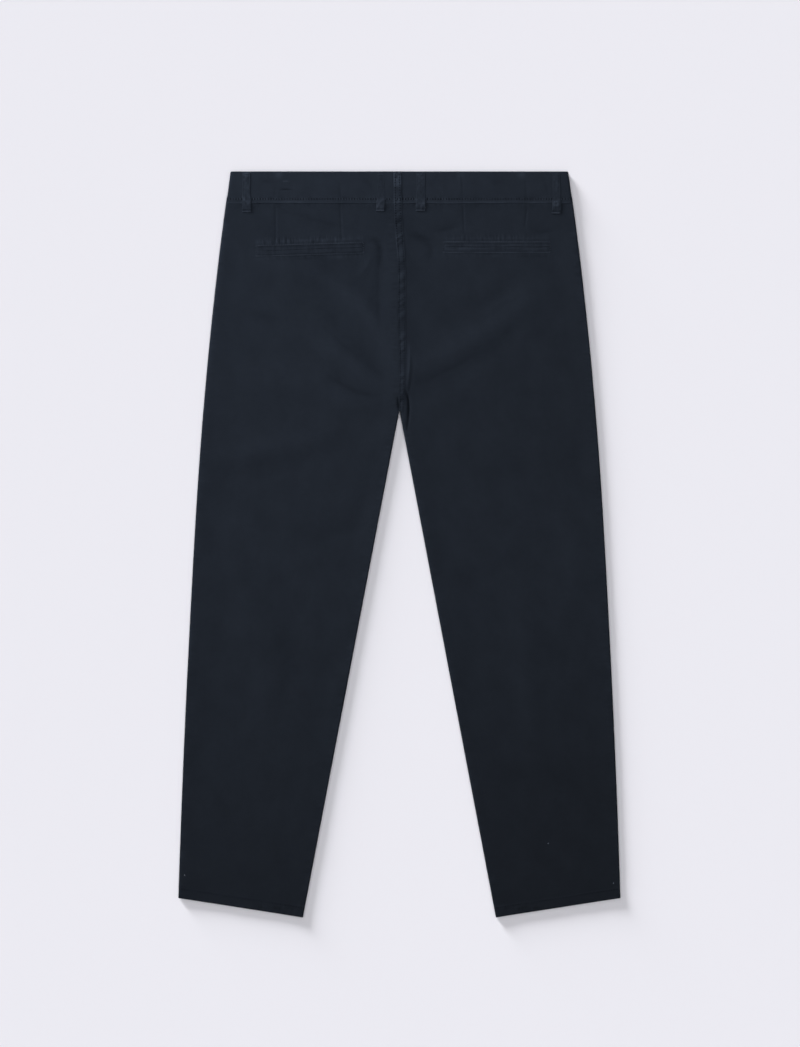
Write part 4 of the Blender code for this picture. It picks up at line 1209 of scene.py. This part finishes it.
def loop_points(loop):
    """The points of a belt loop over the waistband, with where they were cut and their wear and
    painted shade.
    """
    reach = loop.end_below - LOOP_TOP_BELOW
    even = np.linspace(0, 1, LOOP_POINTS)
    base = []
    for down in mix(LOOP_TOP_BELOW, loop.end_below, even):
        near = [touch(waist_tree, loop.x + dx, WAIST_Y - down)[0].z for dx in (-4 * MM, 0, 4 * MM)]
        base.append(max(near))
    padded = np.pad(base, LOOP_STIFF, mode="edge")
    shifts = [padded[i : i + LOOP_POINTS] for i in range(2 * LOOP_STIFF + 1)]
    base = evened(np.max(shifts, axis=0), 14)
    run = np.sort(np.concatenate((even, 1 - LOOP_END_ROWS / reach)))[:, None]
    share, drop = LOOP_ACROSS
    lean = loop.lean * np.sin(math.pi * run) + 0.45 * MM * uneven(run, 0.22, loop.seed)
    width = loop.width * (1 - 0.08 * step(0.7, 0.5, run) + 0.07 * uneven(run, 0.2, loop.seed + 20))
    x = loop.x + lean + share * width
    down = mix(LOOP_TOP_BELOW, loop.end_below, run) + 0 * x
    from_end = loop.end_below - down
    ends = hump(from_end, 0, 0.45 * MM) + hump(down, LOOP_TOP_BELOW, 0.8 * MM)
    grooved = hump(from_end, LOOP_GROOVE_UP, 1.0 * MM)
    upper = step(0.76, 0.62, run)
    pressed = loop.pressed * upper
    on_top = step(0.5, 0.4, np.abs(share)) * (1 - 0.5 * pressed)
    blotch = rumpled(x, down, 2.7 * MM, loop.seed + 40)
    creases = fold_heights(x, down, LOOP_CREASES)
    bulge = creases + 0.2 * MM * blotch - 0.4 * MM * grooved
    bulge -= 0.18 * MM * hump(np.abs(share), 0.32, 0.05)
    lift = through(LOOP_ROWS, run) * (1 - 0.92 * pressed)
    local = [heights_under(waist_tree, *row) for row in zip(x, WAIST_Y - down)]
    base = mix(np.interp(run, even, base), evened(np.array(local), 4), pressed)
    z = base + lift * (1 - drop / LOOP_THICK - 0.8 * ends) + bulge * on_top
    z -= LOOP_TURN_DROP * (1 - lift / LOOP_THICK) * (drop > 1 * MM)
    # painted shade in the loops' creases, paler on their ridges
    wear_and_shade = mix(0.3, 0.15, upper) + 0.3 * blotch + CREASE_WEAR_AND_SHADE * creases / MM
    wear_and_shade += rubs_and_shade(LOOP_RUBS, x, down) * (1.2 + 1.6 * blotch)
    wear_and_shade *= 1 - 0.8 * pressed**2
    # painted shade in the groove above the lower tack
    wear_and_shade += 0.12 * hump(np.abs(share), 0.44, 0.05) * (1 - pressed) - 0.7 * grooved
    wear_and_shade += 0.8 * hump(from_end, LOOP_TACK_UP, 0.9 * MM)
    points = np.stack((x, WAIST_Y - down, z), axis=2)
    cut = np.stack((share * loop.width + loop.x + 0 * x, -down), axis=2)
    return [array[::-1] for array in (points, cut, np.clip(wear_and_shade, -0.8, 2.2), 0.3 + 0 * x)]


loops = {}
for loop in BACK_LOOPS:
    loops[loop.name] = cloth_piece(loop.name, loop_points(loop), wall=TRIM_CLOTH)

# Stitching on the back. The band's topstitch, the felled seam's twin rows, the pockets' edge
# stitch with its tacks, the tacks on the loops' ends, and the hems.

LINE_POINTS = 60
TOPSTITCH_START = {LEFT: -9.5 * MM, RIGHT: -6 * MM}  # beside the felled seam
TWIN_ROWS, TWIN_PITCH = (0.2, 0.72), 3.4 * MM  # their places across the felled seam
POCKET_PITCH, POCKET_END_PITCH = 3.2 * MM, 2.6 * MM
BAND_PIT_SHADE, POCKET_PIT_SHADE, POCKET_END_PIT_SHADE = PIT_SHADE_SIZE * 1.25, PIT_SHADE_SIZE * 0.5, PIT_SHADE_SIZE * 0.7
BACK_ROW_SEEDS = {"topstitch": 100, "pocket": 200, "pocket end": 210, "hem": 300, "band tack": 90}
BAND_TACK = (-155.4 * MM, -149.4 * MM, 13.3 * MM)  # from and to across, and down the band
top_tree = tree_of([*backs.values(), *bands.values(), *welts.values(), *loops.values()])
back_pit_shades = []


def topstitch(side, start_x, from_side):
    """The line of the waistband's topstitch, up to that far from the side."""
    xs = np.linspace(start_x, side * (through(SIDE, TOPSTITCH_BELOW) - from_side), LINE_POINTS)
    return [(x, WAIST_Y - TOPSTITCH_BELOW) for x in xs]


def hem_line(side, from_seams):
    """The line of a hem's stitching, that far from both seams."""
    below = LENGTH - HEM_STITCH_UP
    side_below = outseam_below(below)
    inner = Vector((side * (inseam_x(below) + from_seams), WAIST_Y - below))
    outer = Vector((side * (through(SIDE, side_below) - from_seams), WAIST_Y - side_below))
    return [inner.lerp(outer, t) for t in np.linspace(0, 1, LINE_POINTS)]


stitches = []
for side in (LEFT, RIGHT):
    line = topstitch(side, TOPSTITCH_START[side], 2 * MM)
    seed = BACK_ROW_SEEDS["topstitch"] + side
    sew(stitches, back_pit_shades, waist_tree, line, seed=seed, pit=BAND_PIT_SHADE)
beads("waistband_stitches", stitches, WORN_THREAD)

stitches = []
belows = np.linspace(1.5 * MM, CROTCH_BELOW - 4 * MM, 80)
for i, share in enumerate(TWIN_ROWS):
    xs = through(CENTRE_SEAM, belows) + share * through(CENTRE_SEAM, belows, 2)
    line = [(x, WAIST_Y - below) for x, below in zip(xs, belows)]
    sew(stitches, back_pit_shades, waist_tree, line, TWIN_PITCH, seed=i + 1)
beads("centre_back_stitches", stitches, NAVY_THREAD)

stitches = []
for pocket in POCKETS:
    start = Vector((pocket.x0, WAIST_Y - pocket.below0))
    end = Vector((pocket.x1, WAIST_Y - pocket.below1))
    along = (end - start).normalized()
    up = Vector((-along.y, along.x)) * STITCHED_OUT
    a, b = start - along * 1 * MM, end + along * 1 * MM
    for edge, seed in ((up, 1), (-up, 2)):
        line = [(a + edge).lerp(b + edge, t) for t in np.linspace(0, 1, 30)]
        seed += BACK_ROW_SEEDS["pocket"] + pocket.side
        sew(stitches, back_pit_shades, top_tree, line, POCKET_PITCH, seed=seed, pit=POCKET_PIT_SHADE)
    for corner, way in ((a, 1), (b, -1)):
        spot = corner + along * way * 0.6 * MM
        line = [spot - up, spot, spot + up]
        seed = BACK_ROW_SEEDS["pocket end"] + way + pocket.side
        sew(stitches, back_pit_shades, top_tree, line, POCKET_END_PITCH, seed=seed, pit=POCKET_END_PIT_SHADE)
beads("back_pocket_stitches", stitches, WORN_THREAD)

stitches, upper_stitches = [], []
for loop in BACK_LOOPS:
    half = loop.width / 2 - 1.0 * MM
    lower, upper = loop.end_below - LOOP_TACK_UP, LOOP_TOP_BELOW + 3 * MM
    for row, below in ((stitches, lower), (upper_stitches, upper)):
        y = WAIST_Y - below
        tack(row, top_tree, (loop.x - half, y), (loop.x + half, y), 1.4 * MM, seed=loop.seed)
x0, x1, below = BAND_TACK
y = WAIST_Y - below
tack(stitches, top_tree, (x0, y), (x1, y), 1.3 * MM, seed=BACK_ROW_SEEDS["band tack"])
beads("back_tacks", stitches, WORN_THREAD)
beads("loop_upper_tacks", upper_stitches, NAVY_THREAD)

stitches = []
for side in (LEFT, RIGHT):
    sew(stitches, back_pit_shades, top_tree, hem_line(side, 0.6 * MM), seed=BACK_ROW_SEEDS["hem"] + side)
beads("hem_stitches", stitches, NAVY_THREAD)
# dark beads painted as the shade in the needle pits
beads("back_needle_pit_shades", back_pit_shades, NEEDLE_PIT_SHADE)

# Lint. A few short fibres and nubs of fluff that have settled on the legs.

Nub = namedtuple("Nub", "x below size")  # in millimetres
NUBS = [Nub(-288.0, 943.3, 1.1), Nub(287.0, 954.0, 1.0), Nub(199.5, 900.7, 0.9)]
FLUFF = thread("pale fluff", (0.10, 0.13, 0.19), (0.34, 0.37, 0.44))
fluff = []
for nub in NUBS:
    at, normal = touch(top_tree, nub.x * MM, WAIST_Y - nub.below * MM)
    size = Vector((1, 0.5, 1.3)) * nub.size * MM
    fluff.append(stitch_place(at, Vector((0.4, 1, 0)), normal, size))
beads("lint", fluff, FLUFF)

# Fronts. One for each leg, cut away along the slanted mouth of the side pocket, with the pocket's
# facing behind it. They lie flat on the surface, roll up to the backs at the outseams and the
# inseams, and meet along the fly, where the left one laps over the right.

MOUTH_IN_TOP = 38 * MM  # from the outseam, at the waistband
MOUTH_IN_END = 6 * MM
MOUTH_END_BELOW = 190 * MM
FRONT_COLUMNS, FACING_COLUMNS = 64, 10
MOUTH_ROWS, SEAT_ROWS, LEG_ROWS = 44, 40, 150
FRONT_HEIGHT, FACING_HEIGHT = 0.2 * MM, 0.95 * MM
FACING_TUCK = 9 * MM  # how far the facing runs on behind the front
FLY_LAP, FLY_LAP_RUN = 3 * MM, 4 * MM
FLY_LAP_RISE = 0.85 * MM
FOLDED_EDGE = np.array((0.55, 0.5, 0.42, 0.34, 0.24, 0.12, 0.04)) * MM  # in from a pressed edge
FOLDED_UNDER = 0.62 * MM
FRONT_WAVES = [Wave(0.12 * MM, 0, 1, 31 * MM, 401), Wave(0.05 * MM, 0, 1, 11 * MM, 402)]
FRONT_CREASES = [Fold(*row) for row in (  # troughs only, since the fronts lie on the surface
    (-150, 80, -120, 170, -60, 250, 14, -0.6),
    (-200, 250, -120, 268, -30, 296, 12, -0.7),
    (-120, 292, -70, 300, -14, 312, 9, -0.6),
    (12, 305, 70, 296, 150, 262, 10, -0.7),
    (20, 270, 90, 232, 190, 214, 13, -0.6),
    (100, 70, 110, 140, 70, 220, 15, -0.5),
    (-60, 50, -66, 90, -70, 150, 9, -0.4),
    (60, 50, 68, 100, 72, 160, 9, -0.4),
    (-250, 420, -170, 410, -80, 380, 15, -0.5),
    (90, 400, 160, 430, 255, 425, 15, -0.5),
    (-190, 560, -180, 680, -196, 800, 20, -0.6),
    (150, 580, 176, 690, 186, 800, 20, -0.6),
    (-250, 830, -200, 845, -140, 835, 16, -0.4),
    (130, 850, 190, 862, 260, 850, 16, -0.4),
)]


def mouth_in(below):
    """How far the side pocket's mouth is from the outseam."""
    share = np.clip((below - BAND_DEPTH) / (MOUTH_END_BELOW - BAND_DEPTH), -1, 1)
    return mix(MOUTH_IN_TOP, MOUTH_IN_END, share)


def underside(side, below, is_facing):
    """The points of a front, or of the facing behind its pocket mouth, seen from below."""
    below = np.asarray(below)[:, None]
    start_x = side * inseam_x(below)
    way_x, way_y, full = to_outseam(side, start_x, below)
    radius = through(EDGE_HEIGHT, below) / 2
    inner = step(CROTCH_BELOW, CROTCH_BELOW + ROLL_RUN, below)  # how far each edge is rolled up
    outer = np.ones_like(below)
    start, end = 0 * below, full
    if is_facing:
        start, inner = full - mouth_in(below) - FACING_TUCK, 0 * below
    else:
        above = below <= MOUTH_END_BELOW
        end, outer = np.where(above, full - mouth_in(below), full), np.where(above, 0, 1)
        if side == LEFT:
            start = start - FLY_LAP * step(CROTCH_BELOW, CROTCH_BELOW - 15 * MM, below)
    length = end - start
    shares = np.linspace(0, 1, (FACING_COLUMNS if is_facing else FRONT_COLUMNS) + 2)[1:-1]
    distance = panel_columns(radius, length, [mix(radius, length - radius, shares)])
    x = start_x + way_x / full * (start + distance)
    y = WAIST_Y - below + way_y / full * (start + distance)
    creases = fold_heights(x, WAIST_Y - y, FRONT_CREASES)
    flat = (FACING_HEIGHT if is_facing else FRONT_HEIGHT) - 0.8 * creases
    flat += sum(w.rise * (1 + rumpled(x, y, w.pitch, w.seed)) for w in FRONT_WAVES)
    if not is_facing and side == RIGHT:
        lapped = step(FLY_LAP + FLY_LAP_RUN, FLY_LAP, distance) * (below <= CROTCH_BELOW)
        flat += FLY_LAP_RISE * lapped
    z = flat.copy()
    first, last = slice(TURNS, ROLLS), slice(-ROLLS, -TURNS)
    z[:, first] = mix(flat[:, first] + FOLDED_EDGE, mix(radius, flat[:, first], ROLL_UP), inner)
    rolled = mix(radius, flat[:, last], ROLL_UP[::-1])
    z[:, last] = mix(flat[:, last] + FOLDED_EDGE[::-1], rolled, outer)
    z[:, :TURNS] = mix(flat[:, :TURNS] + FOLDED_UNDER, radius - TURN_OFF, inner)
    z[:, -TURNS:] = mix(flat[:, -TURNS:] + FOLDED_UNDER, radius - TURN_OFF[::-1], outer)
    z = np.maximum(z, LEAST_CLEAR)
    points = np.stack((x, y, z), axis=2)
    cut = np.stack((side * (start + distance), -below * np.ones_like(distance)), axis=2)
    near = np.minimum(distance, length - distance)
    # painted shade in the fronts' creases
    wear_and_shade = 0.3 * hump(near, 0, 4 * MM) + CREASE_WEAR_AND_SHADE * 0.5 * creases / MM
    drawn = 0.6 * hump(below, LENGTH - HEM_STITCH_UP, 7 * MM) - 0.6 * hump(near, 3 * MM, 5 * MM)
    shape = (points, cut, wear_and_shade, drawn)
    return [array[::-1, ::-1] if side == RIGHT else array[::-1] for array in shape]


tucked = BAND_DEPTH - 4 * MM
front_rows = [*np.linspace(tucked, MOUTH_END_BELOW, MOUTH_ROWS), MOUTH_END_BELOW + 0.4 * MM]
front_rows += [*np.linspace(MOUTH_END_BELOW + 3 * MM, CROTCH_BELOW, SEAT_ROWS)]
front_rows += [*np.linspace(CROTCH_BELOW, LENGTH, LEG_ROWS)[1:]]
facing_rows = np.linspace(tucked, MOUTH_END_BELOW - 0.3 * MM, MOUTH_ROWS)
fronts, facings = {}, {}
for side, word in SIDES:
    fronts[side] = cloth_piece(f"front_{word}", underside(side, front_rows, False))
    facings[side] = cloth_piece(f"pocket_facing_{word}", underside(side, facing_rows, True))

# Front belt loops. The same narrow folded strips, pressed flat into the band above them by the
# trousers' weight, one over each front.

LOOP_FRONT_BELOW = (1.5 * MM, 38 * MM)
LOOP_FRONT_POINTS = 30
LOOP_FRONT_HEIGHT = 0.12 * MM
LOOP_FRONT_CLOTH = 0.4 * MM


def front_loop_points(side):
    """The points of a front belt loop, pressed flat, with where they were cut."""
    down = np.linspace(*LOOP_FRONT_BELOW, LOOP_FRONT_POINTS)[:, None]
    share, drop = LOOP_ACROSS
    x = side * FRONT_LOOP_X - share * FRONT_LOOP_WIDTH + 0 * down
    ends = np.minimum(down - LOOP_FRONT_BELOW[0], LOOP_FRONT_BELOW[1] - down)
    dent = 0.12 * MM * hump(np.abs(share), 0.3, 0.06)
    z = LOOP_FRONT_HEIGHT + drop * 0.8 + dent + 0.4 * MM * hump(ends, 0, 0.7 * MM)
    points = np.stack((x, WAIST_Y - down + 0 * x, z), axis=2)
    cut = np.stack((x, -down + 0 * x), axis=2)
    return [points[::-1], cut[::-1], np.full(x.shape, 0.3), np.full(x.shape, 0.3)]


front_loops = {}
for side, word in SIDES:
    shape = front_loop_points(side)
    front_loops[side] = cloth_piece(f"loop_front_{word}", shape, wall=LOOP_FRONT_CLOTH)

# Stitching on the front. The band's topstitch, the fly's curved row, the pocket mouths' two rows
# with a tack at each end, and the hems.

FRONT_ROW_SEEDS = {"topstitch": 500, "fly": 510, "fly edge": 511, "mouth": 520, "hem": 530}
FLY_WIDTH = 34 * MM
FLY_TURN_BELOW = 150 * MM
FLY_END_BELOW = 186 * MM
FLY_TACK = ((-7 * MM, 176 * MM), (-1 * MM, 184 * MM))
MOUTH_ROWS_IN = (1.6 * MM, 8 * MM)
under_tree = tree_of([*fronts.values(), *bands.values(), *front_loops.values()])
front_pit_shades = []
stitches = []
for side in (LEFT, RIGHT):
    line = topstitch(side, side * 2 * MM, 5 * MM)
    seed = FRONT_ROW_SEEDS["topstitch"] + side
    sew(stitches, front_pit_shades, under_tree, line, from_below=True, seed=seed)
beads("waistband_front_stitches", stitches, NAVY_THREAD)

stitches = []
belows = np.linspace(BAND_DEPTH + 1 * MM, FLY_TURN_BELOW, 20)
line = [(-FLY_WIDTH, WAIST_Y - below) for below in belows]
for t in np.linspace(0, math.pi / 2, 16)[1:]:
    x = -FLY_WIDTH + (FLY_WIDTH - 1 * MM) * (1 - math.cos(t))
    line.append((x, WAIST_Y - mix(FLY_TURN_BELOW, FLY_END_BELOW, math.sin(t))))
sew(stitches, front_pit_shades, under_tree, line, from_below=True, seed=FRONT_ROW_SEEDS["fly"])
fly_x = -FLY_LAP - 1.5 * MM
line = [(fly_x, WAIST_Y - below) for below in np.linspace(FLY_END_BELOW, CROTCH_BELOW - 4 * MM, 20)]
sew(stitches, front_pit_shades, under_tree, line, from_below=True, seed=FRONT_ROW_SEEDS["fly edge"])
tacks = [[(x, WAIST_Y - below) for x, below in FLY_TACK]]
for side in (LEFT, RIGHT):
    seed = FRONT_ROW_SEEDS["mouth"] + side
    for inward in MOUTH_ROWS_IN:
        line = []
        for below in np.linspace(BAND_DEPTH + 1 * MM, MOUTH_END_BELOW - 4 * MM, 40):
            side_below = outseam_below(below)
            reach = through(SIDE, side_below) - mouth_in(below) - inward
            line.append((side * reach, WAIST_Y - side_below))
        sew(stitches, front_pit_shades, under_tree, line, from_below=True, seed=seed)
    for below in (BAND_DEPTH + 9 * MM, MOUTH_END_BELOW - 8 * MM):
        reach = side * (through(SIDE, outseam_below(below)) - mouth_in(below))
        y = WAIST_Y - outseam_below(below)
        tacks.append(((reach - side * 9 * MM, y), (reach - side * 1 * MM, y)))
    half = FRONT_LOOP_WIDTH / 2 - 0.8 * MM
    for below in (LOOP_FRONT_BELOW[0] + 3 * MM, LOOP_FRONT_BELOW[1] - 3 * MM):
        y = WAIST_Y - below
        tacks.append(((side * FRONT_LOOP_X - half, y), (side * FRONT_LOOP_X + half, y)))
    line = hem_line(side, 3 * MM)
    sew(stitches, front_pit_shades, under_tree, line, from_below=True, seed=FRONT_ROW_SEEDS["hem"] + side)
for start, end in tacks:
    tack(stitches, under_tree, start, end, 1.6 * MM, from_below=True)
beads("front_stitches", stitches, NAVY_THREAD)
# dark beads painted as the shade in the needle pits
beads("front_needle_pit_shades", front_pit_shades, NEEDLE_PIT_SHADE)

# Waist button. A four-hole button turned from dark horn, with a raised rim and a cross of thread,
# sewn to the left half of the band's front end.

BUTTON_X, BUTTON_BELOW = -14 * MM, 20 * MM
BUTTON_RADIUS = 8.5 * MM
BUTTON_HOLE_RADIUS, BUTTON_HOLE_RING = 1.0 * MM, 2.0 * MM
BUTTON_SIDES, HOLE_SIDES = 48, 16
BUTTON_THREAD = 0.6 * MM
ProfilePoint = namedtuple("ProfilePoint", "share height")  # of the radius, and up from the floor
BUTTON_PROFILE = in_mm(ProfilePoint, [
    (0, 0.55),
    (0.50, 0.55),
    (0.62, 0.52),
    (0.72, 0.35),
    (0.84, 0.20),
    (0.93, 0.22),
    (0.99, 0.40),
    (1.00, 0.65),
    (0.97, 0.90),
    (0.85, 1.10),
    (0, 1.10),
], shares="share")
HORN = thread("dark horn", (0.006, 0.006, 0.008), (0.035, 0.031, 0.030), roughness=0.35)
button_at = Vector((BUTTON_X, WAIST_Y - BUTTON_BELOW, 0))
button_turns = [math.tau * (i + 0.5) / 4 for i in range(4)]

bm = bmesh.new()
ring = [bm.verts.new((BUTTON_RADIUS * p.share, 0, p.height)) for p in BUTTON_PROFILE]
edges = [bm.edges.new(pair) for pair in zip(ring, ring[1:])]
bmesh.ops.spin(bm, geom=[*ring, *edges], cent=(0, 0, 0), axis=(0, 0, 1), angle=math.tau,
               steps=BUTTON_SIDES, use_merge=True)
bmesh.ops.remove_doubles(bm, verts=bm.verts, dist=0.01 * MM)
bmesh.ops.recalc_face_normals(bm, faces=bm.faces)
bmesh.ops.translate(bm, vec=button_at, verts=bm.verts)
button = plain_piece("waist_button_horn", made_mesh("waist_button_horn", bm), HORN)
bm = bmesh.new()
for turn in button_turns:
    spot = button_at + Vector((math.cos(turn), math.sin(turn), 0)) * BUTTON_HOLE_RING
    bmesh.ops.create_cone(bm, cap_ends=True, segments=HOLE_SIDES, radius1=BUTTON_HOLE_RADIUS,
                          radius2=BUTTON_HOLE_RADIUS, depth=6 * MM, matrix=Matrix.Translation(spot))
drill = placed("drill", made_mesh("drill", bm))
holes = button.modifiers.new("holes", "BOOLEAN")
holes.operation = "DIFFERENCE"
holes.object = drill
bpy.context.view_layer.update()
depsgraph = bpy.context.evaluated_depsgraph_get()
drilled = bpy.data.meshes.new_from_object(button.evaluated_get(depsgraph))
button.modifiers.clear()
button.data = drilled
button.data.set_sharp_from_angle(angle=math.radians(45))
bpy.data.objects.remove(drill)
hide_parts("waist_button")

stitches = []
for turn in button_turns[:2]:
    along = Vector((math.cos(turn), math.sin(turn), 0))
    for aside in (-0.35 * MM, 0.35 * MM):
        at = button_at + Vector((-along.y, along.x, 0)) * aside + Vector((0, 0, 0.5 * MM))
        size = Vector((BUTTON_THREAD, BUTTON_THREAD, 2 * BUTTON_HOLE_RING + BUTTON_THREAD))
        stitches.append(stitch_place(at, along, Vector((0, 0, -1)), size, from_below=True))
beads("waist_button_thread", stitches, NAVY_THREAD)

# The floor, the light and the camera. The trousers lie on a pale sweep, under one large soft
# light overhead and two broad low ones from the left, with the camera straight above.

CAMERA_AT = (0.8 * MM, 28.2 * MM, 3904 * MM)
CAMERA_LENS, CAMERA_SENSOR = 100, 36
CAMERA_SIGHT = 60  # in metres, past the floor's far edge
FLOOR_COLOUR = (0.796, 0.789, 0.845)
FLOOR_REACH = 20  # from its middle to each side
GRAIN = 0.005  # how much lighter and darker the paper's fibres are
ROOM_LIGHT = 0.14

bm = bmesh.new()
bmesh.ops.create_grid(bm, x_segments=4, y_segments=4, size=FLOOR_REACH)
floor = placed("floor", made_mesh("floor", bm))
paper, tree, shader = new_material("pale paper", 1, 0)
place = node(tree, "TexCoord", "Object", {})
grain = node(tree, "TexNoise", "Fac", {"Scale": 400, "Vector": place})
darker, lighter = ([c * share for c in FLOOR_COLOUR] for share in (1 - GRAIN, 1 + GRAIN))
set_inputs(shader, {"Base Color": between(tree, grain, darker, lighter)})
floor.data.materials.append(paper)

world = bpy.data.worlds.new("soft room")
bpy.context.scene.world = world
world.use_nodes = True
set_inputs(world.node_tree.nodes["Background"], {"Color": (1, 1, 1, 1), "Strength": ROOM_LIGHT})
Sun = namedtuple("Sun", "name elevation azimuth strength spread lights_floor lights_cloth")
SUNS = [
    Sun("overhead", 90, 0, 1.62, 80, True, True),
    Sun("low from the upper left", 8.5, 127, 8.4, 18, True, False),
    Sun("low from the left", 20, 155, 3.4, 34, False, True),
]
floor_only = bpy.data.collections.new("floor only")
floor_only.objects.link(floor)
cloth_only = bpy.data.collections.new("all but the floor")
cloth_only.objects.link(floor)
cloth_only.collection_objects[0].light_linking.link_state = "EXCLUDE"
for sun in SUNS:
    light = bpy.data.lights.new(sun.name, "SUN")
    light.energy = sun.strength
    light.angle = math.radians(sun.spread)
    lamp = placed(sun.name, light)
    elevation, azimuth = math.radians(sun.elevation), math.radians(sun.azimuth)
    out = math.cos(elevation)
    towards = Vector((out * math.cos(azimuth), out * math.sin(azimuth), math.sin(elevation)))
    lamp.rotation_euler = towards.to_track_quat("Z", "Y").to_euler()
    if not sun.lights_cloth:
        lamp.light_linking.receiver_collection = floor_only
    if not sun.lights_floor:
        lamp.light_linking.receiver_collection = cloth_only

camera = placed("camera", bpy.data.cameras.new("camera"))
camera.data.lens = CAMERA_LENS
camera.data.sensor_width = CAMERA_SENSOR
camera.location = CAMERA_AT
camera.data.clip_end = CAMERA_SIGHT
bpy.context.scene.camera = camera
bpy.context.scene.view_settings.view_transform = "Standard"
